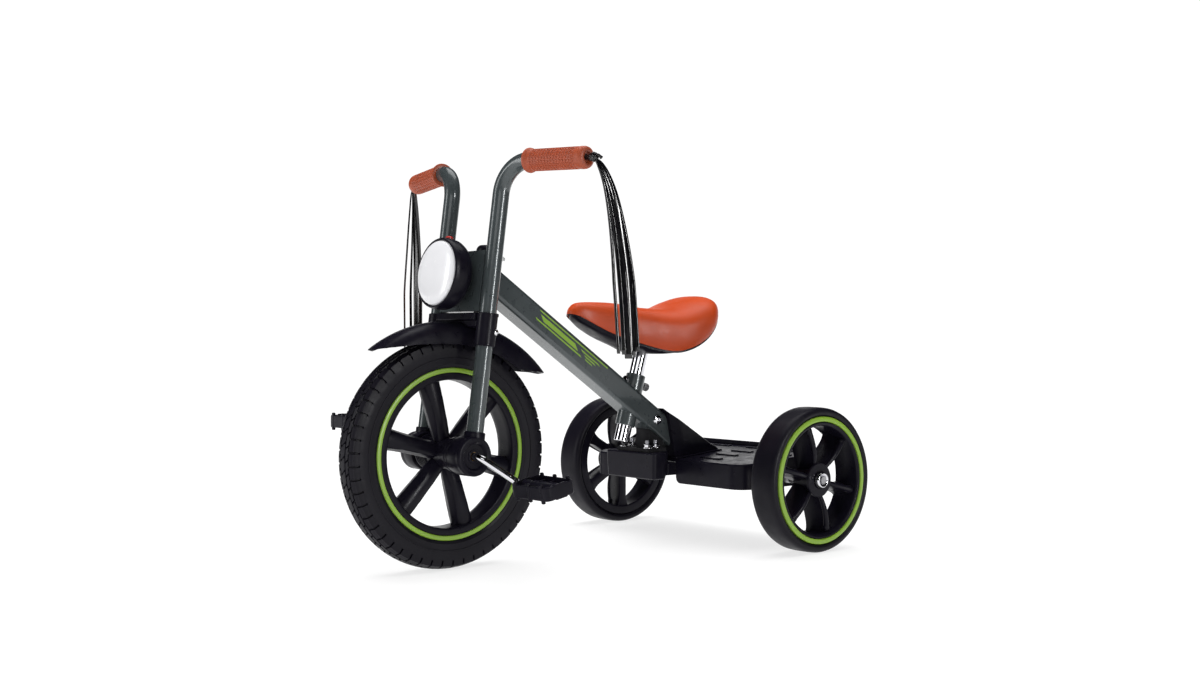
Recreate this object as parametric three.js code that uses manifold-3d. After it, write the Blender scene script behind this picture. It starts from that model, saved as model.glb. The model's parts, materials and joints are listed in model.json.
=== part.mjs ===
// Children's tricycle with tall handlebars, a headlamp and a rear foot deck.
// Millimetres. +X is forward, +Y is the rider's left and +Z is up; the ground is z = 0.
// The origin is on the ground under the middle of the whole tricycle.
import * as THREE from 'three';
import { mergeVertices } from 'three/addons/utils/BufferGeometryUtils.js';
import Module from 'manifold-3d';

const wasm = await Module();
wasm.setup();

// ---------------------------------------------------------------- driving dimensions
const FRONT_R = 150;          // front wheel, 12 inch
const FRONT_HALF_W = 21;
const REAR_R = 101.5;         // rear wheels, 8 inch
const REAR_HALF_W = 22;
const WHEELBASE = 473;
const REAR_TRACK = 423.4;
const AXLE_R = 4.75;          // front crank rod
const GAP = 0.3;              // between pieces that touch
const WHEEL_SIDES = 40;
const ROUND = 14;             // sides of small round pieces

const RAKE = THREE.MathUtils.degToRad(7.6);
const LEG_X = -4;             // tube line, forward of the front axle, along the fork
const LEG_Y = 57.3;
const TUBE_R = 11;
const TUBE_WALL = 1.6;
const BAR_TOP = 382.5;        // height of the grips above the axle, along the fork
const BEND_R = 42;
const GRIP_START = 43;        // from the corner of the bend, along the bar
const GRIP_LENGTH = 99.4;
const STEER_X = -33;          // steering axis, forward of the front axle, along the fork
const HEAD_LOW = 186;         // underside of the head plate, along the fork
const HEAD_HIGH = 266;        // top of the head plate
const LAMP_Z = 231;
const LAMP_R = 47;

const CRANK_R = 55;
const CRANK_ANGLE = THREE.MathUtils.degToRad(40);   // left crank: back and down
const PEDAL_Y = 155;

const BEAM_SLOPE = 0.677;     // fall of the beam per unit of length to the rear
const BEAM_MID = new THREE.Vector2(-106.8, 349.2);  // a point on the beam's centre line
const BEAM_HALF_W = 18.5;
const BEAM_DEPTH = 34;        // across the beam, square to its line
const BEAM_WALL = 2;
const BEAM_END = -384;

const POST_LEAN = 0.301;      // backward lean of the seat post per unit of height
const POST_FOOT = new THREE.Vector2(-303, 150);     // lower end of the seat post
const POST_LENGTH = 146;
const POST_R = 11.1;

const DECK_FRONT = -385;
const DECK_REAR = -562;
const DECK_HALF_W = 162;
const DECK_CORNER_R = 28;
const DECK_TOP = 122;         // at the front edge
const DECK_RISE = 10;         // rise of the top to the rear edge
const DECK_LOW = 86.5;
const DECK_WALL = 3;

const BOX_CENTRE_X = (FRONT_R - WHEELBASE - REAR_R) / 2;

// ---------------------------------------------------------------- materials
const finish = (color, roughness, metalness = 0) =>
  () => new THREE.MeshStandardMaterial({ color, roughness, metalness });
const greyPaint = finish(0x4b5254, 0.35, 0.5);
const blackPlastic = finish(0x232128, 0.5);
const glossBlack = finish(0x17161a, 0.2);
const tyreRubber = finish(0x1d1c1f, 0.8);
const lime = finish(0x96be3c, 0.4);
const chrome = finish(0xd8d8d8, 0.1, 1);
const steel = finish(0x9a9a9a, 0.35, 1);
const tanLeather = finish(0xbe4b23, 0.5);
const tanRubber = finish(0xc35f3c, 0.6);
const lensWhite = finish(0xebebee, 0.25);
const redPlastic = finish(0xc02a20, 0.35);
const nylon = finish(0xcfcbbf, 0.6);
const bronze = finish(0xa8854e, 0.4, 0.8);

// ---------------------------------------------------------------- geometry helpers
function closed(geometry) {
  const bare = geometry.clone();
  bare.deleteAttribute('normal');
  bare.deleteAttribute('uv');
  const merged = mergeVertices(bare, 1e-4);
  return volume(merged) < 0 ? flipped(merged) : merged;
}

function volume(geometry) {
  const position = geometry.getAttribute('position');
  const index = geometry.getIndex();
  const corner = [0, 1, 2].map(() => new THREE.Vector3());
  let total = 0;
  for (let i = 0; i < index.count; i += 3) {
    corner.forEach((point, k) => point.fromBufferAttribute(position, index.getX(i + k)));
    total += corner[0].dot(corner[1].clone().cross(corner[2]));
  }
  return total / 6;
}

function flipped(geometry) {
  const index = Array.from(geometry.getIndex().array);
  for (let i = 0; i < index.length; i += 3) {
    [index[i], index[i + 1]] = [index[i + 1], index[i]];
  }
  geometry.setIndex(index);
  return geometry;
}

function solid(geometry) {
  const mesh = closed(geometry);
  return new wasm.Manifold(new wasm.Mesh({
    numProp: 3,
    vertProperties: new Float32Array(mesh.getAttribute('position').array),
    triVerts: new Uint32Array(mesh.getIndex().array),
  }));
}

function shapeOf(manifold) {
  const mesh = manifold.getMesh();
  const geometry = new THREE.BufferGeometry();
  geometry.setAttribute('position', new THREE.BufferAttribute(mesh.vertProperties, 3));
  geometry.setIndex(new THREE.BufferAttribute(mesh.triVerts, 1));
  return geometry;
}

const joined = (...geometries) =>
  shapeOf(geometries.map(solid).reduce((all, next) => all.add(next)));
const cut = (geometry, ...tools) =>
  shapeOf(tools.map(solid).reduce((left, tool) => left.subtract(tool), solid(geometry)));
const common = (a, b) => shapeOf(solid(a).intersect(solid(b)));

const pointList = (pairs) => pairs.map(([x, y]) => new THREE.Vector2(x, y));

// A solid of revolution about Y from [radius, y] pairs.
const turned = (pairs, sides = ROUND) => new THREE.LatheGeometry(pointList(pairs), sides);

// A hollow ring about Y: the outline closes on itself.
const ring = (pairs, sides = ROUND) => turned([...pairs, pairs[0]], sides);

const pipe = (outer, inner, low, high, sides = ROUND) =>
  ring([[inner, low], [outer, low], [outer, high], [inner, high]], sides);

const rod = (radius, low, high, sides = ROUND) =>
  turned([[0, low], [radius, low], [radius, high], [0, high]], sides);

const alongZ = (geometry) => geometry.rotateX(Math.PI / 2);
const alongX = (geometry) => geometry.rotateZ(-Math.PI / 2);

function block(x0, x1, y0, y1, z0, z1) {
  const box = new THREE.BoxGeometry(x1 - x0, y1 - y0, z1 - z0);
  return box.translate((x0 + x1) / 2, (y0 + y1) / 2, (z0 + z1) / 2);
}

// A side outline (x, z) made into a solid across the tricycle, from y0 to y1.
function sidePlate(shape, y0, y1, curveSegments = 8) {
  const options = { depth: y1 - y0, bevelEnabled: false, curveSegments };
  return new THREE.ExtrudeGeometry(shape, options).rotateX(Math.PI / 2).translate(0, y1, 0);
}

// A plan outline (x, y) made into a solid from z0 to z1.
function planPlate(shape, z0, z1, curveSegments = 8) {
  const options = { depth: z1 - z0, bevelEnabled: false, curveSegments };
  return new THREE.ExtrudeGeometry(shape, options).translate(0, 0, z0);
}

const outline = (pairs) => new THREE.Shape(pointList(pairs));

function roundedBox(halfX, halfY, radius) {
  const shape = new THREE.Shape();
  const quarter = Math.PI / 2;
  [[1, 1], [-1, 1], [-1, -1], [1, -1]].forEach(([sx, sy], k) => {
    const centreX = sx * (halfX - radius);
    const centreY = sy * (halfY - radius);
    shape.absarc(centreX, centreY, radius, k * quarter, (k + 1) * quarter, false);
  });
  return shape;
}

// Straight runs through the points, with the corners rounded.
function bentPath(points, radius) {
  const roundness = 0.5523;
  const path = new THREE.CurvePath();
  let start = points[0];
  for (let i = 1; i < points.length - 1; i += 1) {
    const corner = points[i];
    const back = points[i - 1].clone().sub(corner).normalize();
    const ahead = points[i + 1].clone().sub(corner).normalize();
    const turn = Math.PI - back.angleTo(ahead);
    const reach = radius * Math.tan(turn / 2);
    const inPoint = corner.clone().addScaledVector(back, reach);
    const outPoint = corner.clone().addScaledVector(ahead, reach);
    path.add(new THREE.LineCurve3(start, inPoint));
    path.add(new THREE.CubicBezierCurve3(
      inPoint,
      inPoint.clone().lerp(corner, roundness),
      outPoint.clone().lerp(corner, roundness),
      outPoint,
    ));
    start = outPoint;
  }
  path.add(new THREE.LineCurve3(start, points[points.length - 1]));
  return path;
}

// A round rod along a path that lies in one plane: one step on a straight run, more in a bend.
function bentRod(path, radius, sides, bendSteps = 6) {
  const stations = [[path.curves[0].getPoint(0), path.curves[0].getTangent(0)]];
  for (const run of path.curves) {
    const steps = run.isLineCurve3 ? 1 : bendSteps;
    for (let k = 1; k <= steps; k += 1) {
      stations.push([run.getPoint(k / steps), run.getTangent(k / steps)]);
    }
  }
  const bend = path.curves[1];
  const across = bend.getTangent(0).cross(bend.getTangent(1)).normalize();
  const bar = new THREE.CylinderGeometry(1, 1, 1, sides, stations.length - 1);
  const position = bar.getAttribute('position');
  for (let i = 0; i < position.count; i += 1) {
    const row = Math.round((0.5 - position.getY(i)) * (stations.length - 1));
    const [centre, tangent] = stations[row];
    const normal = across.clone().cross(tangent);
    const place = centre.clone()
      .addScaledVector(across, position.getX(i) * radius)
      .addScaledVector(normal, position.getZ(i) * radius);
    position.setXYZ(i, place.x, place.y, place.z);
  }
  return bar;
}

// A cylinder of changing half-widths bent along a curve; its flat way follows `across`.
function bentBundle(curve, across, steps, sides, halfWidths) {
  const bundle = new THREE.CylinderGeometry(1, 1, 1, sides, steps);
  const position = bundle.getAttribute('position');
  for (let i = 0; i < position.count; i += 1) {
    const t = THREE.MathUtils.clamp(0.5 - position.getY(i), 0, 1);
    const [wide, thick] = halfWidths(t);
    const tangent = curve.getTangentAt(t);
    const normal = across.clone().cross(tangent).normalize();
    const place = curve.getPointAt(t)
      .addScaledVector(across, position.getX(i) * wide)
      .addScaledVector(normal, position.getZ(i) * thick);
    position.setXYZ(i, place.x, place.y, place.z);
  }
  return bundle;
}

const tricycle = new THREE.Group();
tricycle.position.x = -BOX_CENTRE_X;

function addPiece(parent, name, geometry, material) {
  const mesh = new THREE.Mesh(closed(geometry), material());
  mesh.name = name;
  parent.add(mesh);
  return mesh;
}

const SIDES = [['left', 1], ['right', -1]];

// ---------------------------------------------------------------- wheels
// The tyre stands on the flats of its facets, so its corners lie a little further out.
function tyre(inner, outer, halfWidth, bead, shoulder) {
  const reach = outer / Math.cos(Math.PI / WHEEL_SIDES);
  const wall = (inner + outer) / 2;
  const half = [
    [inner, bead], [inner + 3, halfWidth - 1], [wall, halfWidth], [outer - 3.5, shoulder],
    [reach, shoulder / 3],
  ];
  const mirrored = half.map(([r, y]) => [r, -y]).reverse();
  return ring([...half, ...mirrored], WHEEL_SIDES).rotateY(Math.PI / WHEEL_SIDES);
}

const wheelPart = (pairs) => ring(pairs, WHEEL_SIDES).rotateY(Math.PI / WHEEL_SIDES);

const FRONT_BEAD_R = 112;
const FRONT_RING_IN = 105.5;

const FRONT_RIM_IN = 96;
const FRONT_HUB_R = 21;
const SPOKE_COUNT = 6;
const SPOKE_ROOT = 17;        // inner end of a spoke, from the wheel's centre
const SPOKE_TIP = 99;
const SPOKE_ROOT_HALF = 10.5; // half-width round the wheel
const SPOKE_TIP_HALF = 14.5;
const SPOKE_FLATNESS = 0.95;  // thickness across the wheel per unit of width
const SPOKE_PHASE = 15.5;     // degrees from upright to the first spoke

// Six blunt spokes that widen from the hub to the rim, and a hub barrel with thicker ends.
function frontRim() {
  const rim = wheelPart([
    [FRONT_RIM_IN, -17], [FRONT_RING_IN - GAP, -17], [FRONT_RING_IN - GAP, -14],
    [FRONT_BEAD_R - GAP, -14], [FRONT_BEAD_R - GAP, 14], [FRONT_RING_IN - GAP, 14],
    [FRONT_RING_IN - GAP, 17], [FRONT_RIM_IN, 17],
  ]);
  const hub = turned([
    [0, -38], [23, -38], [23, -29], [FRONT_HUB_R, -25], [FRONT_HUB_R, 25], [23, 29],
    [23, 38], [0, 38],
  ]);
  const length = SPOKE_TIP - SPOKE_ROOT;
  const spokes = Array.from({ length: SPOKE_COUNT }, (_, k) =>
    new THREE.CylinderGeometry(SPOKE_TIP_HALF, SPOKE_ROOT_HALF, length, ROUND, 1)
      .rotateX(Math.PI / 2)
      .scale(1, SPOKE_FLATNESS, 1)
      .translate(0, 0, (SPOKE_TIP + SPOKE_ROOT) / 2)
      .rotateY(THREE.MathUtils.degToRad(60 * k + SPOKE_PHASE)));
  return cut(joined(rim, hub, ...spokes), rod(AXLE_R + 0.4, -60, 60));
}

const frontWheel = new THREE.Group();
frontWheel.position.z = FRONT_R;
tricycle.add(frontWheel);

addPiece(frontWheel, 'front_tyre', tyre(FRONT_BEAD_R, FRONT_R, FRONT_HALF_W, 17.6, 16), tyreRubber);
addPiece(frontWheel, 'front_wheel_rim', frontRim(), blackPlastic);
for (const [side, sign] of SIDES) {
  const trim = wheelPart([
    [FRONT_RING_IN, sign * (14 + GAP)], [FRONT_BEAD_R - GAP, sign * (14 + GAP)],
    [FRONT_BEAD_R - GAP, sign * 18], [FRONT_RING_IN, sign * 18.4],
  ]);
  addPiece(frontWheel, `front_ring_${side}`, trim, lime);
}

const REAR_BEAD_R = 89.3;
const REAR_RING_IN = 81.9;
const REAR_HUB_OUT = 17;      // outer face of the rear hub from the wheel's middle plane
const REAR_HUB_R = 17;
const REAR_DISC_R = 24;       // flat disc at the hub's outer end
const REAR_PHASES = { left: 15, right: 0 }; // degrees from upright to the first arm, at rest

// Each arm is a deep fin, thickest on its inner edge, with a round rib along its outer edge.
function rearRim(sign, phase) {
  const rim = wheelPart([
    [74, -20 * sign], [REAR_BEAD_R - GAP, -20 * sign], [REAR_BEAD_R - GAP, 17 * sign],
    [REAR_RING_IN - GAP, 17 * sign], [REAR_RING_IN - GAP, 21 * sign], [74, 20 * sign],
  ]);
  const hub = turned([
    [0, -20], [REAR_HUB_R, -20], [REAR_HUB_R, 10], [REAR_DISC_R, 13], [REAR_DISC_R, REAR_HUB_OUT],
    [0, REAR_HUB_OUT],
  ]);
  const section = outline([[-7.5, -18], [7.5, -18], [3.5, 9], [-3.5, 9]]);
  const spokes = Array.from({ length: SPOKE_COUNT }, (_, k) => {
    const angle = THREE.MathUtils.degToRad(60 * k + phase);
    const fin = planPlate(section, 12, 76);
    const rib = new THREE.CylinderGeometry(5.5, 4, 64, 10).rotateX(Math.PI / 2).translate(0, 9, 44);
    return [fin.rotateY(angle), rib.rotateY(angle)];
  }).flat();
  const arms = joined(hub, ...spokes);
  if (sign < 0) arms.rotateX(Math.PI);
  return cut(joined(rim, arms), rod(9 + GAP, -40, 40));
}

for (const [side, sign] of SIDES) {
  const wheel = new THREE.Group();
  wheel.position.set(-WHEELBASE, (sign * REAR_TRACK) / 2, REAR_R);
  tricycle.add(wheel);
  const rubber = tyre(REAR_BEAD_R, REAR_R, REAR_HALF_W, 19, 17);
  addPiece(wheel, `rear_tyre_${side}`, rubber, tyreRubber);
  addPiece(wheel, `rear_wheel_rim_${side}`, rearRim(sign, REAR_PHASES[side]), blackPlastic);
  addPiece(wheel, `rear_ring_${side}`, wheelPart([
    [REAR_RING_IN, sign * (17 + GAP)], [REAR_BEAD_R - GAP, sign * (17 + GAP)],
    [REAR_BEAD_R - GAP, sign * 22], [REAR_RING_IN, sign * 22.4],
  ]), lime);
  const bushEnds = [-19.5 * sign, 16.5 * sign].sort((a, b) => a - b);
  addPiece(wheel, `rear_hub_bush_${side}`, pipe(9, 5.4, ...bushEnds), nylon);
}

// ---------------------------------------------------------------- crank rod and pedals
const crankX = -CRANK_R * Math.cos(CRANK_ANGLE);
const crankZ = -CRANK_R * Math.sin(CRANK_ANGLE);
const CRANK_END = 191;        // just inside the pedals' outer ends
const crankPath = bentPath([
  new THREE.Vector3(-crankX, -CRANK_END, -crankZ),
  new THREE.Vector3(-crankX, -110, -crankZ),
  new THREE.Vector3(0, -79, 0),
  new THREE.Vector3(0, 79, 0),
  new THREE.Vector3(crankX, 110, crankZ),
  new THREE.Vector3(crankX, CRANK_END, crankZ),
], 9);
addPiece(frontWheel, 'crank_axle', bentRod(crankPath, AXLE_R, 10, 4), chrome);

const PEDAL_HALF_X = 23.5;
const PEDAL_HALF_Y = 37.5;
const PEDAL_HALF_Z = 9.5;
const PEDAL_TILTS = { left: 12, right: 0 }; // degrees, front edge down, at rest

function pedal() {
  const frame = roundedBox(PEDAL_HALF_X, PEDAL_HALF_Y, 9);
  for (const sign of [1, -1]) {
    const window = roundedBox(5.2, PEDAL_HALF_Y - 6, 3);
    const moved = window.getPoints(3).map((p) => new THREE.Vector2(p.x + sign * 14, p.y));
    frame.holes.push(new THREE.Path(moved));
  }
  const cage = planPlate(frame, -PEDAL_HALF_Z, PEDAL_HALF_Z, 3);
  return cut(cage, rod(AXLE_R + 0.6, -60, 60));
}

for (const [side, sign] of SIDES) {
  const place = new THREE.Group();
  place.position.set(sign * crankX, sign * PEDAL_Y, FRONT_R + sign * crankZ);
  place.rotation.y = THREE.MathUtils.degToRad(PEDAL_TILTS[side]);
  tricycle.add(place);
  addPiece(place, `pedal_${side}`, pedal(), blackPlastic);
}

// ---------------------------------------------------------------- fork and handlebar
// Built square along the fork, then leaned back by the rake.
const steering = new THREE.Group();
steering.position.z = FRONT_R;
steering.rotation.y = -RAKE;
tricycle.add(steering);

const barDirection = (sign) => new THREE.Vector3(-0.19, sign, -0.02).normalize();
const barPoint = (sign, along) =>
  new THREE.Vector3(LEG_X, sign * LEG_Y, BAR_TOP).addScaledVector(barDirection(sign), along);
const LEG_FOOT = 21;          // lower end of the tube above the axle
const GRIP_END = GRIP_START + GRIP_LENGTH;

for (const [side, sign] of SIDES) {
  const path = (foot, end) => bentPath([
    new THREE.Vector3(LEG_X, sign * LEG_Y, foot),
    new THREE.Vector3(LEG_X, sign * LEG_Y, BAR_TOP),
    barPoint(sign, end),
  ], BEND_R);
  const outside = bentRod(path(LEG_FOOT, GRIP_END - 4), TUBE_R, 14);
  const bore = bentRod(path(LEG_FOOT - 2, GRIP_END), TUBE_R - TUBE_WALL, 10);
  const tube = cut(outside, bore);
  addPiece(steering, `handlebar_tube_${side}`, tube, greyPaint);
}

const GRIP_R = 14;
const alongBar = (sign) => new THREE.Quaternion()
  .setFromUnitVectors(new THREE.Vector3(0, 1, 0), barDirection(sign));
for (const [side, sign] of SIDES) {
  const grip = ring([
    [TUBE_R + 0.4, 0], [16.2, 0], [16.2, 4], [GRIP_R, 6.5], [GRIP_R, 94], [12.5, GRIP_LENGTH],
    [4, GRIP_LENGTH], [4, GRIP_LENGTH - 3], [TUBE_R + 0.4, GRIP_LENGTH - 3],
  ], 16);
  grip.applyQuaternion(alongBar(sign));
  grip.translate(...barPoint(sign, GRIP_START));
  addPiece(steering, `grip_${side}`, grip, tanRubber);
}

// Each streamer has a plug in the grip's end, a knot, and a bundle that arcs out and hangs down.
const STREAMER_DROP = 237;
for (const [side, sign] of SIDES) {
  const plug = turned([[0, -8], [3.6, -8], [3.6, 1], [6, 2.5], [6, 8], [3.5, 11], [0, 11]], 12);
  plug.applyQuaternion(alongBar(sign));
  plug.translate(...barPoint(sign, GRIP_END));
  plug.rotateY(-RAKE).translate(0, 0, FRONT_R);
  const knot = barPoint(sign, GRIP_END + 8).applyEuler(steering.rotation).add(steering.position);
  const drop = new THREE.CatmullRomCurve3([
    [0, 0, 0], [-3, 9, -10], [-10, 19, -42], [-16, 28, -95], [-20, 35, -160], [-23, 39, -STREAMER_DROP],
  ].map(([x, y, z]) => new THREE.Vector3(knot.x + x, knot.y + sign * y, knot.z + z)));
  const along = new THREE.Vector3(1, 0, 0);
  const bundle = bentBundle(drop, along, 14, 10, (t) => [3.5 + 12 * Math.sqrt(t), 3.5 + 4.5 * t]);
  addPiece(tricycle, `streamer_${side}`, joined(plug, bundle), glossBlack);
}

// Head plate: a folded channel that carries the two tubes on the steering bolt.
function headPlate() {
  const channel = outline([
    [3, HEAD_LOW], [3, HEAD_HIGH], [-52, HEAD_HIGH], [-52, HEAD_HIGH - 4], [0, HEAD_HIGH - 4],
    [0, HEAD_LOW + 4], [-52, HEAD_LOW + 4], [-52, HEAD_LOW],
  ]);
  const halfWidth = LEG_Y - TUBE_R - GAP;
  const plan = outline([
    [4, -halfWidth], [4, halfWidth], [-17, halfWidth], [-46, 19], [-53, 13],
    [-53, -13], [-46, -19], [-17, -halfWidth],
  ]);
  const folded = sidePlate(channel, -halfWidth, halfWidth);
  const trimmed = common(folded, planPlate(plan, 0, 400));
  const bore = alongZ(rod(6.4, 0, 400)).translate(STEER_X, 0, 0);
  return cut(trimmed, bore);
}
addPiece(steering, 'head_plate', headPlate(), greyPaint);

const atSteerAxis = (geometry) => alongZ(geometry).translate(STEER_X, 0, 0);
addPiece(steering, 'steering_bolt', atSteerAxis(turned([
  [0, 174], [6, 174], [6, HEAD_HIGH + GAP], [9.5, HEAD_HIGH + GAP], [9.5, HEAD_HIGH + 6.5],
  [0, HEAD_HIGH + 6.5],
])), steel);
addPiece(steering, 'steering_nut', atSteerAxis(pipe(10.5, 7, 177, HEAD_LOW - GAP, 6)), chrome);
addPiece(steering, 'steering_cap', atSteerAxis(turned([
  [0, HEAD_HIGH + 7.5], [11, HEAD_HIGH + 7.5], [11, HEAD_HIGH + GAP], [15.5, HEAD_HIGH + GAP],
  [15.5, HEAD_HIGH + 9], [12.5, HEAD_HIGH + 13], [0, HEAD_HIGH + 14],
])), blackPlastic);

// Fork bridge: two sleeves round the tubes and the bar between them, one moulding.
const BRIDGE_LOW = 141;
const BRIDGE_HIGH = 184;
const BAR_LOW = 174;
function forkBridge() {
  const bodies = SIDES.map(([, sign]) =>
    alongZ(rod(13.4, BRIDGE_LOW, BRIDGE_HIGH)).translate(LEG_X, sign * LEG_Y, 0));
  const bar = block(-14, 8, -LEG_Y, LEG_Y, BAR_LOW, BRIDGE_HIGH);
  const bores = SIDES.map(([, sign]) =>
    alongZ(rod(TUBE_R + GAP, 0, 300)).translate(LEG_X, sign * LEG_Y, 0));
  return cut(joined(bar, ...bodies), ...bores);
}
addPiece(steering, 'fork_bridge', forkBridge(), blackPlastic);
for (const [side, sign] of SIDES) {
  const screw = turned([[0, 0], [4.2, 0], [3.4, 2], [0, 2.6]], 12);
  const facing = new THREE.Vector3(-0.55, sign * 0.84, 0).normalize();
  screw.applyQuaternion(new THREE.Quaternion()
    .setFromUnitVectors(new THREE.Vector3(0, 1, 0), facing));
  const foot = new THREE.Vector3(LEG_X, sign * LEG_Y, 160).addScaledVector(facing, 13.4 + GAP);
  screw.translate(foot.x, foot.y, foot.z);
  addPiece(steering, `bridge_screw_${side}`, screw, chrome);
}

// Mudguard: a domed band round the top of the front wheel, cut to points fore and aft.
const GUARD_CENTRE = new THREE.Vector2(-4.5, 128.7);
const GUARD_R = 193.7;
function mudguard() {
  const dome = (crown, half) => {
    const curve = new THREE.CubicBezierCurve(
      new THREE.Vector2(160, -half), new THREE.Vector2(crown * 0.96, -half),
      new THREE.Vector2(crown + 0.3, -half * 0.72), new THREE.Vector2(crown, 0),
    );
    const left = curve.getPoints(4).map((p) => [p.x, p.y]);
    return [...left, ...left.slice(0, -1).map(([r, y]) => [r, -y]).reverse()];
  };
  const band = ring([...dome(GUARD_R, 30), ...dome(GUARD_R - 2.5, 27.5).reverse()], 48);
  band.translate(GUARD_CENTRE.x, 0, GUARD_CENTRE.y);
  const side = new THREE.Shape();
  side.moveTo(108, 286);
  side.lineTo(140, 360);
  side.lineTo(-190, 360);
  side.lineTo(-153, 252);
  side.quadraticCurveTo(-125, 254, -107, 256);
  side.quadraticCurveTo(-88, 258, -60, 277);
  side.quadraticCurveTo(-20, 292, 30, 292);
  side.quadraticCurveTo(70, 291, 108, 286);
  return common(band, sidePlate(side, -40, 40, 5));
}
addPiece(tricycle, 'mudguard', mudguard(), blackPlastic);

// Axle housings at the feet of the tubes, each with its bush.
for (const [side, sign] of SIDES) {
  const shell = ring([
    [12 + GAP, sign * 41], [24, sign * 41], [25.6, sign * 43], [25.6, sign * 69],
    [23.5, sign * 71], [16.5, sign * 71], [16, sign * 66.5], [12 + GAP, sign * 66.5],
  ]);
  const socket = alongZ(rod(13.6, 14, 31)).translate(LEG_X, sign * LEG_Y, 0);
  const bore = alongZ(rod(TUBE_R + GAP, LEG_FOOT - GAP, 60)).translate(LEG_X, sign * LEG_Y, 0);
  addPiece(steering, `axle_housing_${side}`, cut(joined(shell, socket), bore), blackPlastic);
  const bush = pipe(12, AXLE_R + 0.4, sign < 0 ? -66 : 41.5, sign < 0 ? -41.5 : 66);
  addPiece(steering, `axle_bush_${side}`, bush, bronze);
}

// Headlamp on the head plate.
const atLamp = (geometry) => alongX(geometry).translate(0, 0, LAMP_Z);
const lampShell = atLamp(turned([
  [0, 3.3], [14, 3.3], [14, 9], [20, 9], [34, 11], [43, 17], [LAMP_R, 26], [LAMP_R, 38],
  [45.5, 44], [42.8, 44], [42.8, 40], [40.5, 40], [40.5, 36], [42, 30], [39, 19.5],
  [32, 14], [19, 12], [0, 12],
], 24));
const BUTTON_X = 30;
const buttonBore = alongZ(rod(5.4, LAMP_Z + 30, LAMP_Z + 60, 16)).translate(BUTTON_X, 0, 0);
addPiece(steering, 'lamp_housing', cut(lampShell, buttonBore), blackPlastic);
addPiece(steering, 'lamp_lens', atLamp(turned([
  [0, 40.3], [42.5, 40.3], [42.5, 43.5], [36, 47], [20, 50], [0, 51.5],
], 24)), lensWhite);
const button = alongZ(turned([
  [0, LAMP_Z + 42], [5, LAMP_Z + 42], [5, LAMP_Z + 49], [4, LAMP_Z + 50], [0, LAMP_Z + 50.4],
], 16)).translate(BUTTON_X, 0, 0);
addPiece(steering, 'lamp_button', button, redPlastic);

// ---------------------------------------------------------------- frame
const leaned = (geometry) => geometry.rotateY(-RAKE).translate(0, 0, FRONT_R);
const HEAD_TUBE_R = 17;
const HEAD_TUBE_LOW = 194;
const HEAD_TUBE_HIGH = 258;
addPiece(tricycle, 'head_tube',
  leaned(atSteerAxis(pipe(HEAD_TUBE_R, 14, HEAD_TUBE_LOW, HEAD_TUBE_HIGH))), greyPaint);
for (const [name, sleeveEnd, flangeNear, flangeFar] of [
  ['head_bush_lower', HEAD_TUBE_LOW + 12, HEAD_TUBE_LOW - GAP, HEAD_LOW + 4 + GAP],
  ['head_bush_upper', HEAD_TUBE_HIGH - 12, HEAD_TUBE_HIGH + GAP, HEAD_HIGH - 4 - GAP],
]) {
  const bush = ring([
    [6.5, sleeveEnd], [14 - GAP, sleeveEnd], [14 - GAP, flangeNear], [16.5, flangeNear],
    [16.5, flangeFar], [6.5, flangeFar],
  ]);
  addPiece(tricycle, name, leaned(atSteerAxis(bush)), nylon);
}

// Main beam: a square tube with rounded corners, from the head tube down to the deck.
const beamAngle = Math.atan(BEAM_SLOPE);
const beamZ = (x) => BEAM_MID.y + BEAM_SLOPE * (x - BEAM_MID.x);
const beamHalfRise = BEAM_DEPTH / 2 / Math.cos(beamAngle);
const atPost = (geometry) => alongZ(geometry).rotateY(-Math.atan(POST_LEAN))
  .translate(POST_FOOT.x, 0, POST_FOOT.y);
const acrossPost = (geometry) => atPost(alongX(geometry).rotateX(-Math.PI / 2)
  .translate(0, CLAMP_Z, 0));
const SEAT_TUBE_R = 14.3;
const SEAT_TUBE_LOW = 24;
const SEAT_TUBE_HIGH = 100;
const CLAMP_Z = 88;           // locking screw, up the post from its foot
const CLAMP_HOLE_R = 3.6;

const BEAM_TOP_X = -60;        // the blank starts inside the head plate and is trimmed to fit
const BEAM_BLANK = 420;
const BOLT_X = -356;           // cross bolt near the beam's rear end
const BOLT_HOLE_R = 4.3;

function mainBeam() {
  const section = roundedBox(BEAM_DEPTH / 2, BEAM_HALF_W, 5);
  section.holes.push(roundedBox(BEAM_DEPTH / 2 - BEAM_WALL, BEAM_HALF_W - BEAM_WALL, 3));
  const options = { depth: BEAM_BLANK, bevelEnabled: false, curveSegments: 3 };
  const beam = new THREE.ExtrudeGeometry(section, options)
    .rotateY(-Math.PI / 2 - beamAngle).translate(BEAM_TOP_X, 0, beamZ(BEAM_TOP_X));
  const keep = block(BEAM_END, -50, -40, 40, 100, 500);
  const head = leaned(atSteerAxis(rod(HEAD_TUBE_R + GAP, 100, 330)));
  const ahead = leaned(block(STEER_X, 60, -40, 40, 100, 400));
  const seat = atPost(rod(SEAT_TUBE_R + GAP, -40, 200));
  const bolt = rod(BOLT_HOLE_R, -40, 40, 12).translate(BOLT_X, 0, beamZ(BOLT_X));
  return cut(common(beam, keep), head, ahead, seat, bolt);
}
addPiece(tricycle, 'main_beam', mainBeam(), greyPaint);
addPiece(tricycle, 'seat_tube',
  cut(atPost(pipe(SEAT_TUBE_R, POST_R + 0.5, SEAT_TUBE_LOW, SEAT_TUBE_HIGH)),
    acrossPost(rod(CLAMP_HOLE_R, -30, 0, 12))), greyPaint);

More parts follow.
